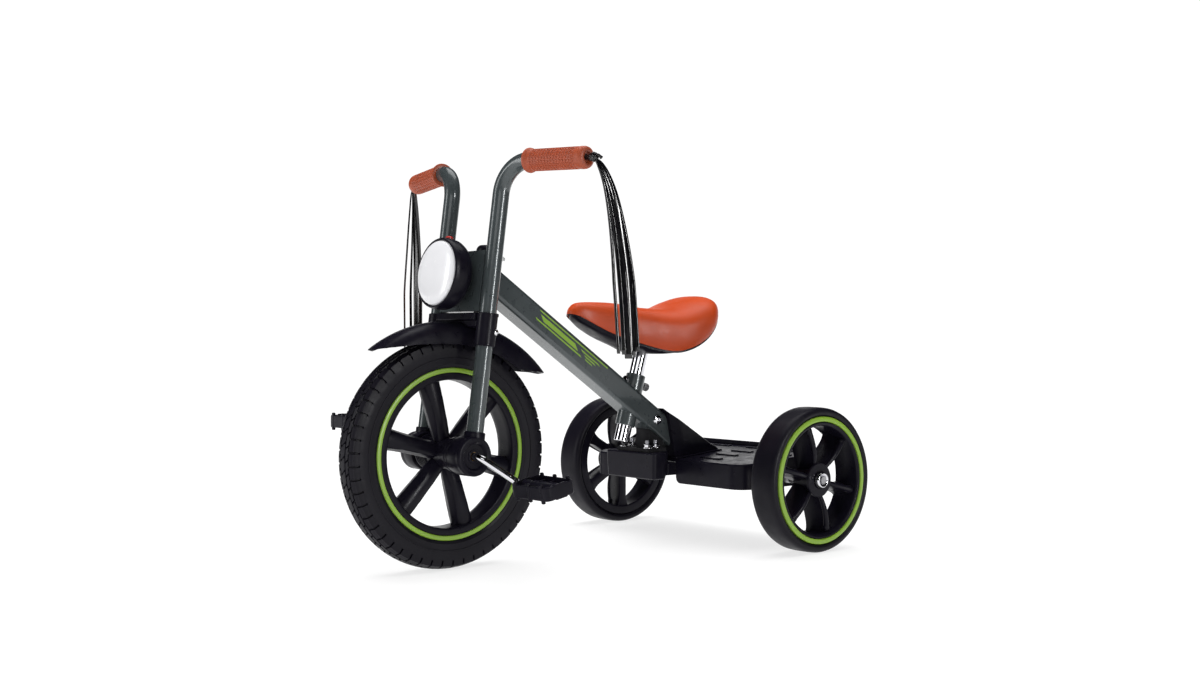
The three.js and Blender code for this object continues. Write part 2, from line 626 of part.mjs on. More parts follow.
// Locking screw behind the seat tube, and the nut in front of it.
addPiece(tricycle, 'seat_clamp_screw', acrossPost(turned([
  [0, -26], [5.2, -26], [5.8, -25], [5.8, -17], [4.5, -16], [3.2, -16], [3.2, -12], [0, -12],
], 16)), chrome);
addPiece(tricycle, 'seat_clamp_nut', acrossPost(pipe(6.5, 3.3, SEAT_TUBE_R + GAP, 20, 6)), chrome);

// ---------------------------------------------------------------- saddle
addPiece(tricycle, 'seat_post', atPost(pipe(POST_R, 9, 0, POST_LENGTH)), chrome);

const SADDLE_NOSE = -207;
const SADDLE_TAIL = -466;
// Crown height and half-width along the saddle, nose to tail.
const crownCurve = new THREE.SplineCurve(pointList([
  [-207, 338], [-224, 350], [-256, 351], [-290, 349.5], [-335, 344], [-376, 345],
  [-415, 357], [-440, 363], [-457, 359], [-466, 345],
]));
const widthCurve = new THREE.SplineCurve(pointList([
  [-207, 3], [-215, 14], [-235, 22], [-265, 27], [-300, 34], [-335, 47],
  [-370, 63], [-400, 71], [-425, 69], [-447, 53], [-461, 30], [-466, 8],
]));
// Height of the cover's lower edge.
const rimCurve = new THREE.SplineCurve(pointList([
  [-200, 336], [-214, 331], [-237, 319], [-265, 307], [-300, 296], [-330, 287],
  [-360, 280], [-385, 284], [-410, 296], [-435, 315], [-455, 332], [-475, 346],
]));

function heightAt(curve, x) {
  const points = curve.getPoints(80);
  const next = points.findIndex((point) => point.x <= x);
  if (next <= 0) return points[next === 0 ? 0 : points.length - 1].y;
  const [a, b] = [points[next - 1], points[next]];
  return THREE.MathUtils.lerp(a.y, b.y, (x - a.x) / (b.x - a.x));
}

const SADDLE_SQUARENESS = 0.75; // below 1 the section is fuller than an ellipse

// A ball reshaped to the saddle: rounded over the crown, with sides that hang down.
function saddleBody(inset) {
  const ball = new THREE.SphereGeometry(1, 20, 20).rotateZ(-Math.PI / 2);
  const position = ball.getAttribute('position');
  const middle = (SADDLE_NOSE + SADDLE_TAIL) / 2;
  const halfLength = (SADDLE_NOSE - SADDLE_TAIL) / 2 - inset;
  for (let i = 0; i < position.count; i += 1) {
    const u = position.getX(i);
    const around = Math.atan2(position.getZ(i), position.getY(i));
    const onTip = Math.abs(u) > 0.99999;
    const along = Math.sign(u) * (1 - (1 - Math.abs(u)) ** 0.8);
    const x = middle + halfLength * along;
    const half = Math.max(heightAt(widthCurve, x) - inset, 1);
    const crown = heightAt(crownCurve, x) - inset;
    const floor = heightAt(rimCurve, x) - 16;
    const centre = (crown + floor) / 2;
    const bulge = (value) => Math.sign(value) * Math.abs(value) ** SADDLE_SQUARENESS;
    const y = onTip ? 0 : half * bulge(Math.cos(around));
    const z = onTip ? centre + 8 : centre + ((crown - floor) / 2) * bulge(Math.sin(around));
    position.setXYZ(i, x, y, z);
  }
  return ball;
}

function belowRim(drop, depth) {
  const top = rimCurve.getPoints(20).map((point) => [point.x, point.y - drop]);
  const bottom = top.map(([x, z]) => [x, z - depth]).reverse();
  return sidePlate(outline([...top, ...bottom]), -90, 90);
}

const postSocket = () => atPost(rod(POST_R + GAP, -10, POST_LENGTH + GAP));
addPiece(tricycle, 'saddle_cover', cut(saddleBody(0), belowRim(0, 90), postSocket()), tanLeather);
addPiece(tricycle, 'saddle_base', cut(common(saddleBody(4), belowRim(GAP, 9)), postSocket()),
  blackPlastic);

// ---------------------------------------------------------------- deck and rear axle
const deckTopAt = (x) => DECK_TOP + (DECK_RISE * (DECK_FRONT - x)) / (DECK_FRONT - DECK_REAR);
const AXLE_CARRIER_R = 9;

function deckBlank(inset, low) {
  const side = outline([
    [DECK_FRONT - inset, low], [DECK_FRONT - inset, deckTopAt(DECK_FRONT) - inset],
    [DECK_REAR + inset, deckTopAt(DECK_REAR) - inset], [DECK_REAR + inset, low],
  ]);
  const halfX = (DECK_FRONT - DECK_REAR) / 2 - inset;
  const plan = planPlate(roundedBox(halfX, DECK_HALF_W - inset, DECK_CORNER_R - inset), 0, 300, 4)
    .translate((DECK_FRONT + DECK_REAR) / 2, 0, 0);
  return common(sidePlate(side, -200, 200), plan);
}

// The front wall is open in the middle for the nose block, and the axle tube passes through the sides.
const LIP_TOP = 138.5;
function deck() {
  const slot = block(-470, -380, -6, 6, 60, 160);
  const frontGap = block(DECK_FRONT - 5, DECK_FRONT + 1, -28, 28, 60, 118);
  const axleHole = rod(AXLE_CARRIER_R + 0.4, -300, 300).translate(-WHEELBASE, 0, REAR_R);
  const lip = sidePlate(outline([
    [DECK_REAR, 125], [DECK_REAR, LIP_TOP], [DECK_REAR + 4, LIP_TOP], [DECK_REAR + 4, 125],
  ]), -DECK_HALF_W + DECK_CORNER_R, DECK_HALF_W - DECK_CORNER_R);
  const hollow = deckBlank(DECK_WALL, DECK_LOW - 10);
  return cut(joined(deckBlank(0, DECK_LOW), lip), hollow, slot, frontGap, axleHole);
}
addPiece(tricycle, 'foot_deck', deck(), blackPlastic);

// Wedge cover that carries the beam's top line down to the deck.
const COVER_FOOT = -388;       // the front edge leans forward from its foot to its top
const COVER_FRONT = -374;
const COVER_TIP = -492;
const COVER_SKIN = 2.5;
function deckCover() {
  const crest = beamZ(COVER_FRONT) + beamHalfRise + 3;
  const tip = deckTopAt(COVER_TIP) + 2;
  const roofAt = (x) => THREE.MathUtils.mapLinear(x, COVER_FRONT, COVER_TIP, crest, tip);
  const side = outline([
    [COVER_FOOT, deckTopAt(COVER_FOOT) + GAP], [COVER_FRONT, crest], [COVER_TIP, tip],
    [COVER_TIP, deckTopAt(COVER_TIP) + GAP],
  ]);
  const plan = outline([
    [-360, 23.5], [-400, 24.5], [-493, 9], [-493, -9], [-400, -24.5], [-360, -23.5],
  ]);
  const inner = outline([
    [-360, 60], [-360, roofAt(-360) - COVER_SKIN], [-478, roofAt(-478) - COVER_SKIN], [-478, 60],
  ]);
  const shell = common(sidePlate(side, -40, 40), planPlate(plan, 0, 400));
  const hollow = common(sidePlate(inner, -22, 22), planPlate(outline([
    [-350, 21], [-400, 21.8], [-479, 8.5], [-479, -8.5], [-400, -21.8], [-350, -21],
  ]), 0, 400));
  return cut(shell, hollow);
}
addPiece(tricycle, 'deck_cover', deckCover(), blackPlastic);

// Steel plate inside the cover that joins the beam to the rear axle tube.
function rearBracket() {
  const tongueHalf = 10;
  const side = outline([
    [-340, beamZ(-340) + tongueHalf], [-386, beamZ(-386) + tongueHalf], [-452, deckTopAt(-452) + 3],
    [-476, REAR_R + 14], [-490, REAR_R + 8], [-490, REAR_R - 8], [-462, REAR_R - 8],
    [-392, 112], [-386.5, beamZ(-386) - tongueHalf], [-340, beamZ(-340) - tongueHalf],
  ]);
  const tube = rod(AXLE_CARRIER_R + GAP, -40, 40).translate(-WHEELBASE, 0, REAR_R);
  const bolt = rod(BOLT_HOLE_R, -40, 40, 12).translate(BOLT_X, 0, beamZ(BOLT_X));
  return cut(sidePlate(side, -4, 4), tube, bolt);
}
addPiece(tricycle, 'rear_bracket', rearBracket(), steel);
addPiece(tricycle, 'beam_bolt', turned([
  [0, -8], [4, -8], [4, BEAM_HALF_W + GAP], [7, BEAM_HALF_W + GAP], [6.2, BEAM_HALF_W + 3],
  [0, BEAM_HALF_W + 4],
], 16).translate(BOLT_X, 0, beamZ(BOLT_X)), chrome);

// Nose block in front of the deck with a neck that runs back into it, and the pad under the beam.
const NOSE_FRONT = -319;
const NOSE_HALF_X = 13;
const NOSE_TOP = 135;
function noseBlock() {
  const head = planPlate(roundedBox(NOSE_HALF_X, 54, 4), 97, NOSE_TOP, 3)
    .translate(NOSE_FRONT - NOSE_HALF_X, 0, 0);
  const neck = block(-372, -344, -26, 26, 98, NOSE_TOP);
  const tongue = block(-390, -371, -26, 26, 98, 117);
  return joined(head, neck, tongue);
}
addPiece(tricycle, 'nose_block', noseBlock(), blackPlastic);

const padTop = (x) => beamZ(x) - beamHalfRise - GAP;
const padFloor = NOSE_TOP + GAP;
function beamPad() {
  const side = outline([
    [-345, padFloor], [-345, padTop(-345)], [-371, padTop(-371)], [-371, padFloor],
  ]);
  const ears = block(-360, -325, -34, 34, padFloor, padFloor + 5);
  return joined(sidePlate(side, -15, 15), ears);
}
addPiece(tricycle, 'beam_pad', beamPad(), tyreRubber);
for (const [side, sign] of SIDES) {
  for (const [place, x] of [['front', -331], ['rear', -347]]) {
    const screw = alongZ(turned([
      [0, padFloor + 5 + GAP], [6, padFloor + 5 + GAP], [6, padFloor + 9], [3.5, padFloor + 9],
      [3.5, padFloor + 16], [0, padFloor + 16.5],
    ], 12)).translate(x, sign * 25.5, 0);
    addPiece(tricycle, `pad_bolt_${place}_${side}`, screw, chrome);
  }
}

const atRearAxle = (geometry) => geometry.translate(-WHEELBASE, 0, REAR_R);
const AXLE_END = REAR_TRACK / 2 + REAR_HUB_OUT + 7;
addPiece(tricycle, 'rear_axle', atRearAxle(rod(5, -AXLE_END, AXLE_END)), steel);
addPiece(tricycle, 'rear_axle_tube', atRearAxle(pipe(AXLE_CARRIER_R, 5.4, -176, 176)), steel);
for (const [side, sign] of SIDES) {
  const near = REAR_TRACK / 2 + REAR_HUB_OUT + 0.5;
  const nut = ring([
    [5.3, near * sign], [11.5, near * sign], [11.5, (near + 2) * sign], [9, (near + 5) * sign],
    [5.3, (near + 6.5) * sign],
  ], 14);
  addPiece(tricycle, `rear_axle_nut_${side}`, atRearAxle(nut), chrome);
}

export default tricycle;
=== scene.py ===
"""Children's tricycle with streamers, a headlamp, a padded saddle and a rear foot deck.

Outlines below are in millimetres in the design's own frame: x forward of the front axle, y to the
rider's left, z above the ground. piece() turns them into metres in the row frame.
"""
import json
import math
import random

import bmesh
import bpy
import numpy as np
from mathutils import Matrix, Vector


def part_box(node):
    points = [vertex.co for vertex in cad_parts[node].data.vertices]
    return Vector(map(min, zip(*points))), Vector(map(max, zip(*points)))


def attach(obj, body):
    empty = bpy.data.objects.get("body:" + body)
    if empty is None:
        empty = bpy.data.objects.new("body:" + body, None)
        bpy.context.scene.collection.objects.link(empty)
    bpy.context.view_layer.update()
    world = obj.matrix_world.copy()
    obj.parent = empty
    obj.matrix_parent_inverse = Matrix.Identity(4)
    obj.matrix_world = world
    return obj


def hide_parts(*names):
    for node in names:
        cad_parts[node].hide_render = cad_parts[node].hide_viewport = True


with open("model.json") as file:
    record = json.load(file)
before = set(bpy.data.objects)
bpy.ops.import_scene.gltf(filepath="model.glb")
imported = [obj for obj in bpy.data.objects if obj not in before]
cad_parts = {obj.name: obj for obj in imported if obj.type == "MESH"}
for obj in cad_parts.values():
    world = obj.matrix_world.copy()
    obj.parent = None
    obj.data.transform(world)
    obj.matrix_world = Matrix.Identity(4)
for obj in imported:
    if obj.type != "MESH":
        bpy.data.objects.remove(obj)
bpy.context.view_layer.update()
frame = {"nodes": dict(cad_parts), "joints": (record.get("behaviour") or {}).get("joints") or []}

# ---- places taken from the frame
MM = 0.001


def middle(node):
    low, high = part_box(node)
    return (low + high) / 2


def joint(name):
    return next(j for j in frame["joints"] if j["name"] == name)


SHIFT = middle("front_tyre").x / MM
FRONT_R = middle("front_tyre").z / MM
REAR_R = middle("rear_tyre_left").z / MM
REAR_X = middle("rear_tyre_left").x / MM - SHIFT
REAR_Y = middle("rear_tyre_left").y / MM
steer_axis = joint("steering_turn")["axis"]
RAKE = math.atan2(-steer_axis[0], steer_axis[2])
post_axis = joint("saddle_height")["axis"]
POST_TILT = math.atan2(-post_axis[0], post_axis[2])
SIDES = (("left", 1), ("right", -1))

TO_ROW = Matrix.Translation((SHIFT * MM, 0, 0)) @ Matrix.Scale(MM, 4)
AT_FRONT = Matrix.Translation((0, 0, FRONT_R))
AT_FORK = AT_FRONT @ Matrix.Rotation(-RAKE, 4, "Y")

# ---- driving sizes
AXLE_R = 4.75
LEG_X, LEG_Y, LEG_FOOT = -4, 57.3, 21
TUBE_R = 11
BAR_TOP, BEND_R = 382.5, 42
GRIP_START, GRIP_LENGTH = 43, 99.4
STEER_X = -33
LAMP_Z, LAMP_R = 231, 47
CRANK_R, CRANK_ANGLE = 55, math.radians(40)
BEAM_SLOPE, BEAM_X, BEAM_Z = 0.677, -106.8, 349.2
BEAM_HALF_W, BEAM_DEPTH, BEAM_END = 18.5, 34, -384
POST_X, POST_Z, POST_LENGTH, POST_R = -303, 150, 146, 11.1
DECK_FRONT, DECK_REAR, DECK_HALF_W = -385, -562, 162
DECK_TOP, DECK_RISE, DECK_LOW = 122, 10, 86.5
AT_POST = Matrix.Translation((POST_X, 0, POST_Z)) @ Matrix.Rotation(-POST_TILT, 4, "Y")


# ---- mesh tools
class Shape:
    """Points and faces in millimetres."""

    def __init__(self, points=(), faces=()):
        self.points = [Vector(p) for p in points]
        self.faces = [tuple(f) for f in faces]

    def add(self, other):
        base = len(self.points)
        self.points += other.points
        self.faces += [tuple(i + base for i in f) for f in other.faces]
        return self

    def moved(self, matrix):
        return Shape([matrix @ p for p in self.points], self.faces)

    def shifted(self, x, y, z):
        return self.moved(Matrix.Translation((x, y, z)))

    def turned(self, degrees, axis):
        return self.moved(Matrix.Rotation(math.radians(degrees), 4, axis))


def join(*shapes):
    out = Shape()
    for shape in shapes:
        out.add(shape)
    return out


def grid(rows, wrap_rows=False, wrap_columns=True, caps=False):
    """A surface through rows of points; wrap_columns closes each row on itself."""
    count = len(rows[0])
    shape = Shape([p for row in rows for p in row])
    last_row = len(rows) if wrap_rows else len(rows) - 1
    last_column = count if wrap_columns else count - 1
    for r in range(last_row):
        for c in range(last_column):
            a, b = r * count + c, r * count + (c + 1) % count
            below = ((r + 1) % len(rows)) * count
            shape.faces.append((a, b, below + (c + 1) % count, below + c))
    if caps:
        shape.faces.append(tuple(range(count)))
        first = (len(rows) - 1) * count
        shape.faces.append(tuple(range(first, first + count)))
    return shape


def about_y(radius, y, angle):
    return radius * math.cos(angle), y, radius * math.sin(angle)


def lathe(profile, sides=96, closed=False):
    """A solid of revolution about Y from (radius, y) pairs."""
    rows = [[about_y(max(radius, 0.01), y, math.tau * k / sides) for k in range(sides)]
            for radius, y in profile]
    return grid(rows, wrap_rows=closed, caps=not closed)


def corner_curve(start, corner, end, steps):
    return [start * (1 - t) ** 2 + corner * 2 * t * (1 - t) + end * t * t
            for t in (k / steps for k in range(steps + 1))]


def rounded(profile, radius=1.0):
    """The same profile with every corner between its ends rounded off."""
    out = [Vector(profile[0])]
    for before, corner, after in zip(profile, profile[1:], profile[2:]):
        a, b, c = Vector(before), Vector(corner), Vector(after)
        reach = min(radius, (a - b).length * 0.45, (c - b).length * 0.45)
        start = b + (a - b).normalized() * reach
        end = b + (c - b).normalized() * reach
        out += corner_curve(start, b, end, 3)
    out.append(Vector(profile[-1]))
    return [tuple(p) for p in out]


def facing(sign, profile):
    return [(r, sign * y) for r, y in profile]


def mirrored(half):
    """A profile from its upper half: the same points below y = 0, then above it."""
    return facing(-1, half) + half[::-1]


def toothed(profile, teeth, depth):
    """A turned knob whose rim is knurled where the profile's third value is true."""
    rows = []
    for radius, y, ribbed in profile:
        row = []
        for k in range(teeth * 4):
            r = max(radius - (depth if ribbed and k % 4 in (0, 1) else 0), 0.01)
            row.append(about_y(r, y, math.tau * k / (teeth * 4)))
        rows.append(row)
    return grid(rows, caps=True)


def round_corners(outline, radii, steps=6):
    """A closed plan outline with each corner rounded by its own radius."""
    out = []
    for i, corner in enumerate(outline):
        b = Vector(corner)
        back, ahead = Vector(outline[i - 1]) - b, Vector(outline[(i + 1) % len(outline)]) - b
        reach = radii[i] * math.tan((math.pi - back.angle(ahead)) / 2)
        start, end = b + back.normalized() * reach, b + ahead.normalized() * reach
        out += [tuple(p) for p in corner_curve(start, b, end, steps)]
    return out


def along_z(shape):
    return shape.turned(90, "X")


def towards(direction):
    return Vector((0, 1, 0)).rotation_difference(Vector(direction)).to_matrix().to_4x4()


def frames(points):
    """Centres with two cross directions that turn smoothly along the path."""
    points = [Vector(p) for p in points]
    out, side = [], None
    for i, p in enumerate(points):
        tangent = (points[min(i + 1, len(points) - 1)] - points[max(i - 1, 0)]).normalized()
        if side is None:
            side = tangent.orthogonal().normalized()
        side = (side - tangent * side.dot(tangent)).normalized()
        out.append((p, side, tangent.cross(side)))
    return out


def rod_along(points, radius, sides=40):
    """A round rod; radius is a number or one number for each point."""
    radii = radius if isinstance(radius, (list, tuple)) else [radius] * len(points)
    rows = []
    for (centre, side, other), r in zip(frames(points), radii):
        angles = (math.tau * k / sides for k in range(sides))
        rows.append([centre + (side * math.cos(a) + other * math.sin(a)) * r for a in angles])
    return grid(rows, caps=True)


ROUND = 0.5523        # how far a curve's handles reach towards a corner for it to look like an arc


def cubic(a, b, c, d, t):
    """A point of the curve from a to d that b and c pull on."""
    return a * (1 - t) ** 3 + b * 3 * t * (1 - t) ** 2 + c * 3 * t * t * (1 - t) + d * t ** 3


def bend(points, radius, steps=14, run=6):
    """Straight runs through the points with each corner rounded."""
    points = [Vector(p) for p in points]
    out, start = [], points[0]
    for before, corner, after in zip(points, points[1:], points[2:]):
        back, ahead = (before - corner).normalized(), (after - corner).normalized()
        reach = radius * math.tan((math.pi - back.angle(ahead)) / 2)
        enter, leave = corner + back * reach, corner + ahead * reach
        out += [start.lerp(enter, k / run) for k in range(run)]
        near, far = enter.lerp(corner, ROUND), leave.lerp(corner, ROUND)
        out += [cubic(enter, near, far, leave, k / steps) for k in range(steps)]
        start = leave
    return out + [start.lerp(points[-1], k / run) for k in range(run + 1)]


def rounded_outline(half_a, half_b, radius, steps=6):
    out = []
    for k, (sa, sb) in enumerate(((1, 1), (-1, 1), (-1, -1), (1, -1))):
        for j in range(steps + 1):
            a = math.pi / 2 * (k + j / steps)
            out.append((sa * (half_a - radius) + radius * math.cos(a),
                        sb * (half_b - radius) + radius * math.sin(a)))
    return out


def inward_normals(outline):
    points = [Vector(p) for p in outline]
    area = sum(a.x * b.y - b.x * a.y for a, b in zip(points, points[1:] + points[:1]))
    normals = []
    for i, p in enumerate(points):
        along = (points[(i + 1) % len(points)] - points[i - 1]).normalized()
        normals.append(Vector((-along.y, along.x)) * (1 if area > 0 else -1))
    return points, normals


def plate(outline, z0, z1, edge=1.0, steps=3):
    """A plan outline made solid from z0 to z1, with both rims rounded by edge."""
    points, inward = inward_normals(outline)
    stations = [(edge * (1 - math.sin(math.pi / 2 * k / steps)),
                 z0 + edge * (1 - math.cos(math.pi / 2 * k / steps))) for k in range(steps + 1)]
    stations += [(inset, z1 - (z - z0)) for inset, z in reversed(stations)]
    rows = [[(p.x + n.x * inset, p.y + n.y * inset, z) for p, n in zip(points, inward)]
            for inset, z in stations]
    return grid(rows, caps=True)


def across(shape):
    """Turns a plate drawn in (x, z) so that its thickness runs along y."""
    return Shape([(p.x, p.z, p.y) for p in shape.points], shape.faces)


def link(thing):
    bpy.context.scene.collection.objects.link(thing)
    return thing


def soften(thing, width):
    modifier = thing.modifiers.new("soft edges", "BEVEL")
    modifier.width = width * MM
    modifier.segments = 2
    modifier.limit_method = "ANGLE"
    modifier.angle_limit = math.radians(40)


def piece(name, shape, slot, body, *nodes, look=None, sharp=32, bevel=0, flat=False):
    """A shown piece that rides on a body and stands for nodes; its slot gives its look."""
    mesh = bpy.data.meshes.new(name)
    mesh.from_pydata([TO_ROW @ p for p in shape.points], [], shape.faces)
    work = bmesh.new()
    work.from_mesh(mesh)
    bmesh.ops.remove_doubles(work, verts=work.verts, dist=2e-6)
    bmesh.ops.recalc_face_normals(work, faces=work.faces)
    work.to_mesh(mesh)
    work.free()
    mesh.polygons.foreach_set("use_smooth", [True] * len(mesh.polygons))
    mesh.set_sharp_from_angle(angle=math.radians(sharp))
    thing = link(bpy.data.objects.new(name, mesh))
    thing.data.materials.append(LOOKS[look or slot])
    if bevel:
        soften(thing, bevel)
    if flat:
        modifier = thing.modifiers.new("even shading", "WEIGHTED_NORMAL")
        modifier.keep_sharp = True
    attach(thing, body)
    if nodes:
        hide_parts(*nodes)
    return thing


# ---- materials
def linear(red, green, blue):
    def one(value):
        value /= 255
        return value / 12.92 if value <= 0.04045 else ((value + 0.055) / 1.055) ** 2.4
    return one(red), one(green), one(blue)


def finish(name, colour, roughness, metallic=0.0, vary=0.12, patch=40, rough_vary=0.08,
           grain=900, bump=0.00004, cells=False, coat=0.0, specular=0.5):
    """A procedural finish: colour and roughness drift in patches, over a fine grain bump."""
    look = bpy.data.materials.new(name)
    look.use_nodes = True
    nodes, links = look.node_tree.nodes, look.node_tree.links
    shader = nodes["Principled BSDF"]
    shader.inputs["Metallic"].default_value = metallic
    shader.inputs["Specular IOR Level"].default_value = specular
    shader.inputs["Coat Weight"].default_value = coat
    shader.inputs["Coat Roughness"].default_value = 0.08
    place = nodes.new("ShaderNodeTexCoord").outputs["Object"]

    def noise(scale, detail=3):
        made = nodes.new("ShaderNodeTexNoise")
        made.inputs["Scale"].default_value = scale
        made.inputs["Detail"].default_value = detail
        links.new(place, made.inputs["Vector"])
        return made.outputs["Fac"]

    def ramp(source, low, high):
        made = nodes.new("ShaderNodeValToRGB")
        for stop, place_on_ramp, value in zip(made.color_ramp.elements, (0.3, 0.7), (low, high)):
            stop.position, stop.color = place_on_ramp, value
        links.new(source, made.inputs["Fac"])
        return made.outputs["Color"]

    def scaled(factor):
        return tuple(min(c * factor, 1) for c in linear(*colour)) + (1,)

    links.new(ramp(noise(patch), scaled(1 - vary), scaled(1 + vary)), shader.inputs["Base Color"])
    low, high = max(roughness - rough_vary, 0.02), min(roughness + rough_vary, 1)
    links.new(ramp(noise(patch * 2.3), (low,) * 3 + (1,), (high,) * 3 + (1,)),
              shader.inputs["Roughness"])
    if cells:
        pattern = nodes.new("ShaderNodeTexVoronoi")
        pattern.inputs["Scale"].default_value = grain
        links.new(place, pattern.inputs["Vector"])
        height = pattern.outputs["Distance"]
    else:
        height = noise(grain, 4)
    relief = nodes.new("ShaderNodeBump")
    relief.inputs["Distance"].default_value = bump
    relief.inputs["Strength"].default_value = 1
    links.new(height, relief.inputs["Height"])
    links.new(relief.outputs["Normal"], shader.inputs["Normal"])
    return look


LOOKS = {
    "frame_paint": finish("slate_paint", (72, 79, 81), 0.3, 0.2, vary=0.05, coat=0.5,
                          rough_vary=0.04, grain=500, bump=0.000002, specular=0.4),
    "black_plastic": finish("black_plastic", (20, 18, 28), 0.34, grain=1500, bump=0.00001,
                            specular=0.13),
    "black_ribbon": finish("vinyl_ribbon", (14, 13, 17), 0.16, patch=25, rough_vary=0.05,
                           grain=160, bump=0.00001, coat=0.4),
    "tyre_rubber": finish("tyre_rubber", (18, 16, 25), 0.46, patch=22, grain=1100, bump=0.000015,
                          specular=0.16),
    "pad_rubber": finish("pad_rubber", (24, 23, 27), 0.65, grain=900, bump=0.00003, specular=0.2),
    "lime_trim": finish("lime_plastic", (146, 188, 58), 0.38, vary=0.04, bump=0.000005),
    "chrome": finish("chrome", (224, 224, 228), 0.1, 1, vary=0.03, rough_vary=0.03,
                     bump=0.000003),
    "steel": finish("zinc_steel", (158, 158, 160), 0.34, 1, vary=0.08, bump=0.00001),
    "saddle_cover": finish("tan_leather", (197, 72, 27), 0.42, vary=0.07, patch=18, grain=900,
                           bump=0.00004, cells=True, specular=0.28),
    "grip_rubber": finish("terracotta_rubber", (170, 76, 44), 0.5, vary=0.06, grain=420,
                          bump=0.000004),
    "lens": finish("milky_lens", (249, 249, 252), 0.2, vary=0.02, coat=0.3, bump=0.000003),
    "button": finish("red_button", (196, 44, 34), 0.3, vary=0.05, bump=0.000005),
    "nylon": finish("nylon", (207, 203, 191), 0.55, vary=0.05),
    "bronze": finish("bronze", (104, 82, 54), 0.5, 0.8),
}


# ---- camera, light and floor
EYE = (967.6, 1478.6, 300.7)
HEADING = -2.265            # the way the camera looks, in radians from straight ahead


def place_camera():
    """A level view of the tricycle from ahead and to its left."""
    ahead = Vector((math.cos(HEADING), math.sin(HEADING), 0))
    camera = bpy.data.objects.new("camera", bpy.data.cameras.new("camera"))
    camera.location = TO_ROW @ Vector(EYE)
    camera.rotation_euler = ahead.to_track_quat("-Z", "Y").to_euler()
    camera.data.sensor_width = 36
    camera.data.lens = 40.4
    camera.data.clip_start = 0.01
    bpy.context.scene.camera = link(camera)


def lamp(name, azimuth, distance, height, width, tall, power):
    """A soft panel; azimuth turns it round the object from the camera's side."""
    data = bpy.data.lights.new(name, "AREA")
    data.shape = "RECTANGLE"
    data.size, data.size_y, data.energy = width, tall, power
    thing = bpy.data.objects.new(name, data)
    turn = HEADING + math.pi + math.radians(azimuth)
    thing.location = (distance * math.cos(turn), distance * math.sin(turn), height)
    aim = Vector((0, 0, 0.25)) - thing.location
    thing.rotation_euler = aim.to_track_quat("-Z", "Y").to_euler()
    return link(thing)


def lights():
    """Panels, of which the strip and the backdrop show in reflections only, and an overhead sky."""
    strip = lamp("strip_right", 42, 2.2, 0.85, 0.16, 1.5, 34)
    strip.visible_diffuse = False
    lamp("panel_left", -78, 2.3, 0.8, 0.5, 1.5, 13)
    lamp("panel_ahead", -10, 2.6, 1.4, 1.5, 0.8, 7)
    lamp("panel_top", 170, 0.7, 2.2, 1.6, 1.2, 12)
    backdrop = lamp("backdrop", 180, 2.6, 0.55, 4, 1.1, 15)
    backdrop.visible_camera = backdrop.visible_diffuse = False
    sun = bpy.data.lights.new("sky", "SUN")
    sun.energy, sun.angle = 3.75, math.radians(80)
    overhead = link(bpy.data.objects.new("sky", sun))
    overhead.rotation_euler = (math.radians(8), math.radians(-6), 0)
    overhead.visible_glossy = False


def surroundings():
    """A white world that lights nothing itself, round a pale floor that glows a little."""
    world = bpy.data.worlds.new("studio")
    world.use_nodes = True
    sky = world.node_tree.nodes["Background"].inputs
    sky["Color"].default_value = (1, 1, 1, 1)
    sky["Strength"].default_value = 1.05
    bpy.context.scene.world = world
    world.cycles_visibility.diffuse = world.cycles_visibility.glossy = False
    bpy.context.scene.view_settings.view_transform = "Standard"
    half = 12
    mesh = bpy.data.meshes.new("floor")
    mesh.from_pydata([(-half, -half, 0), (half, -half, 0), (half, half, 0), (-half, half, 0)],
                     [], [(0, 1, 2, 3)])
    look = finish("pale_floor", (146, 146, 146), 0.95, vary=0.005, patch=2, bump=0.00001)
    glow = look.node_tree.nodes["Principled BSDF"].inputs
    glow["Emission Color"].default_value = (1, 1, 1, 1)
    glow["Emission Strength"].default_value = 0.745
    mesh.materials.append(look)
    link(bpy.data.objects.new("floor", mesh))


# ---- wheels
FRONT_BEAD_R, FRONT_RING_IN, FRONT_RIM_IN = 112, 105.5, 96
TREAD_BLOCKS, TREAD_DEPTH, TREAD_HALF = 54, 2.3, 17.5
NOTCH_DEPTH, NOTCHED_POINTS = 2.4, 4        # the shoulder notches, over the flank's first points
SPOKE_ROOT, SPOKE_TIP, SPOKE_PHASE = 17, 97.5, 15.5


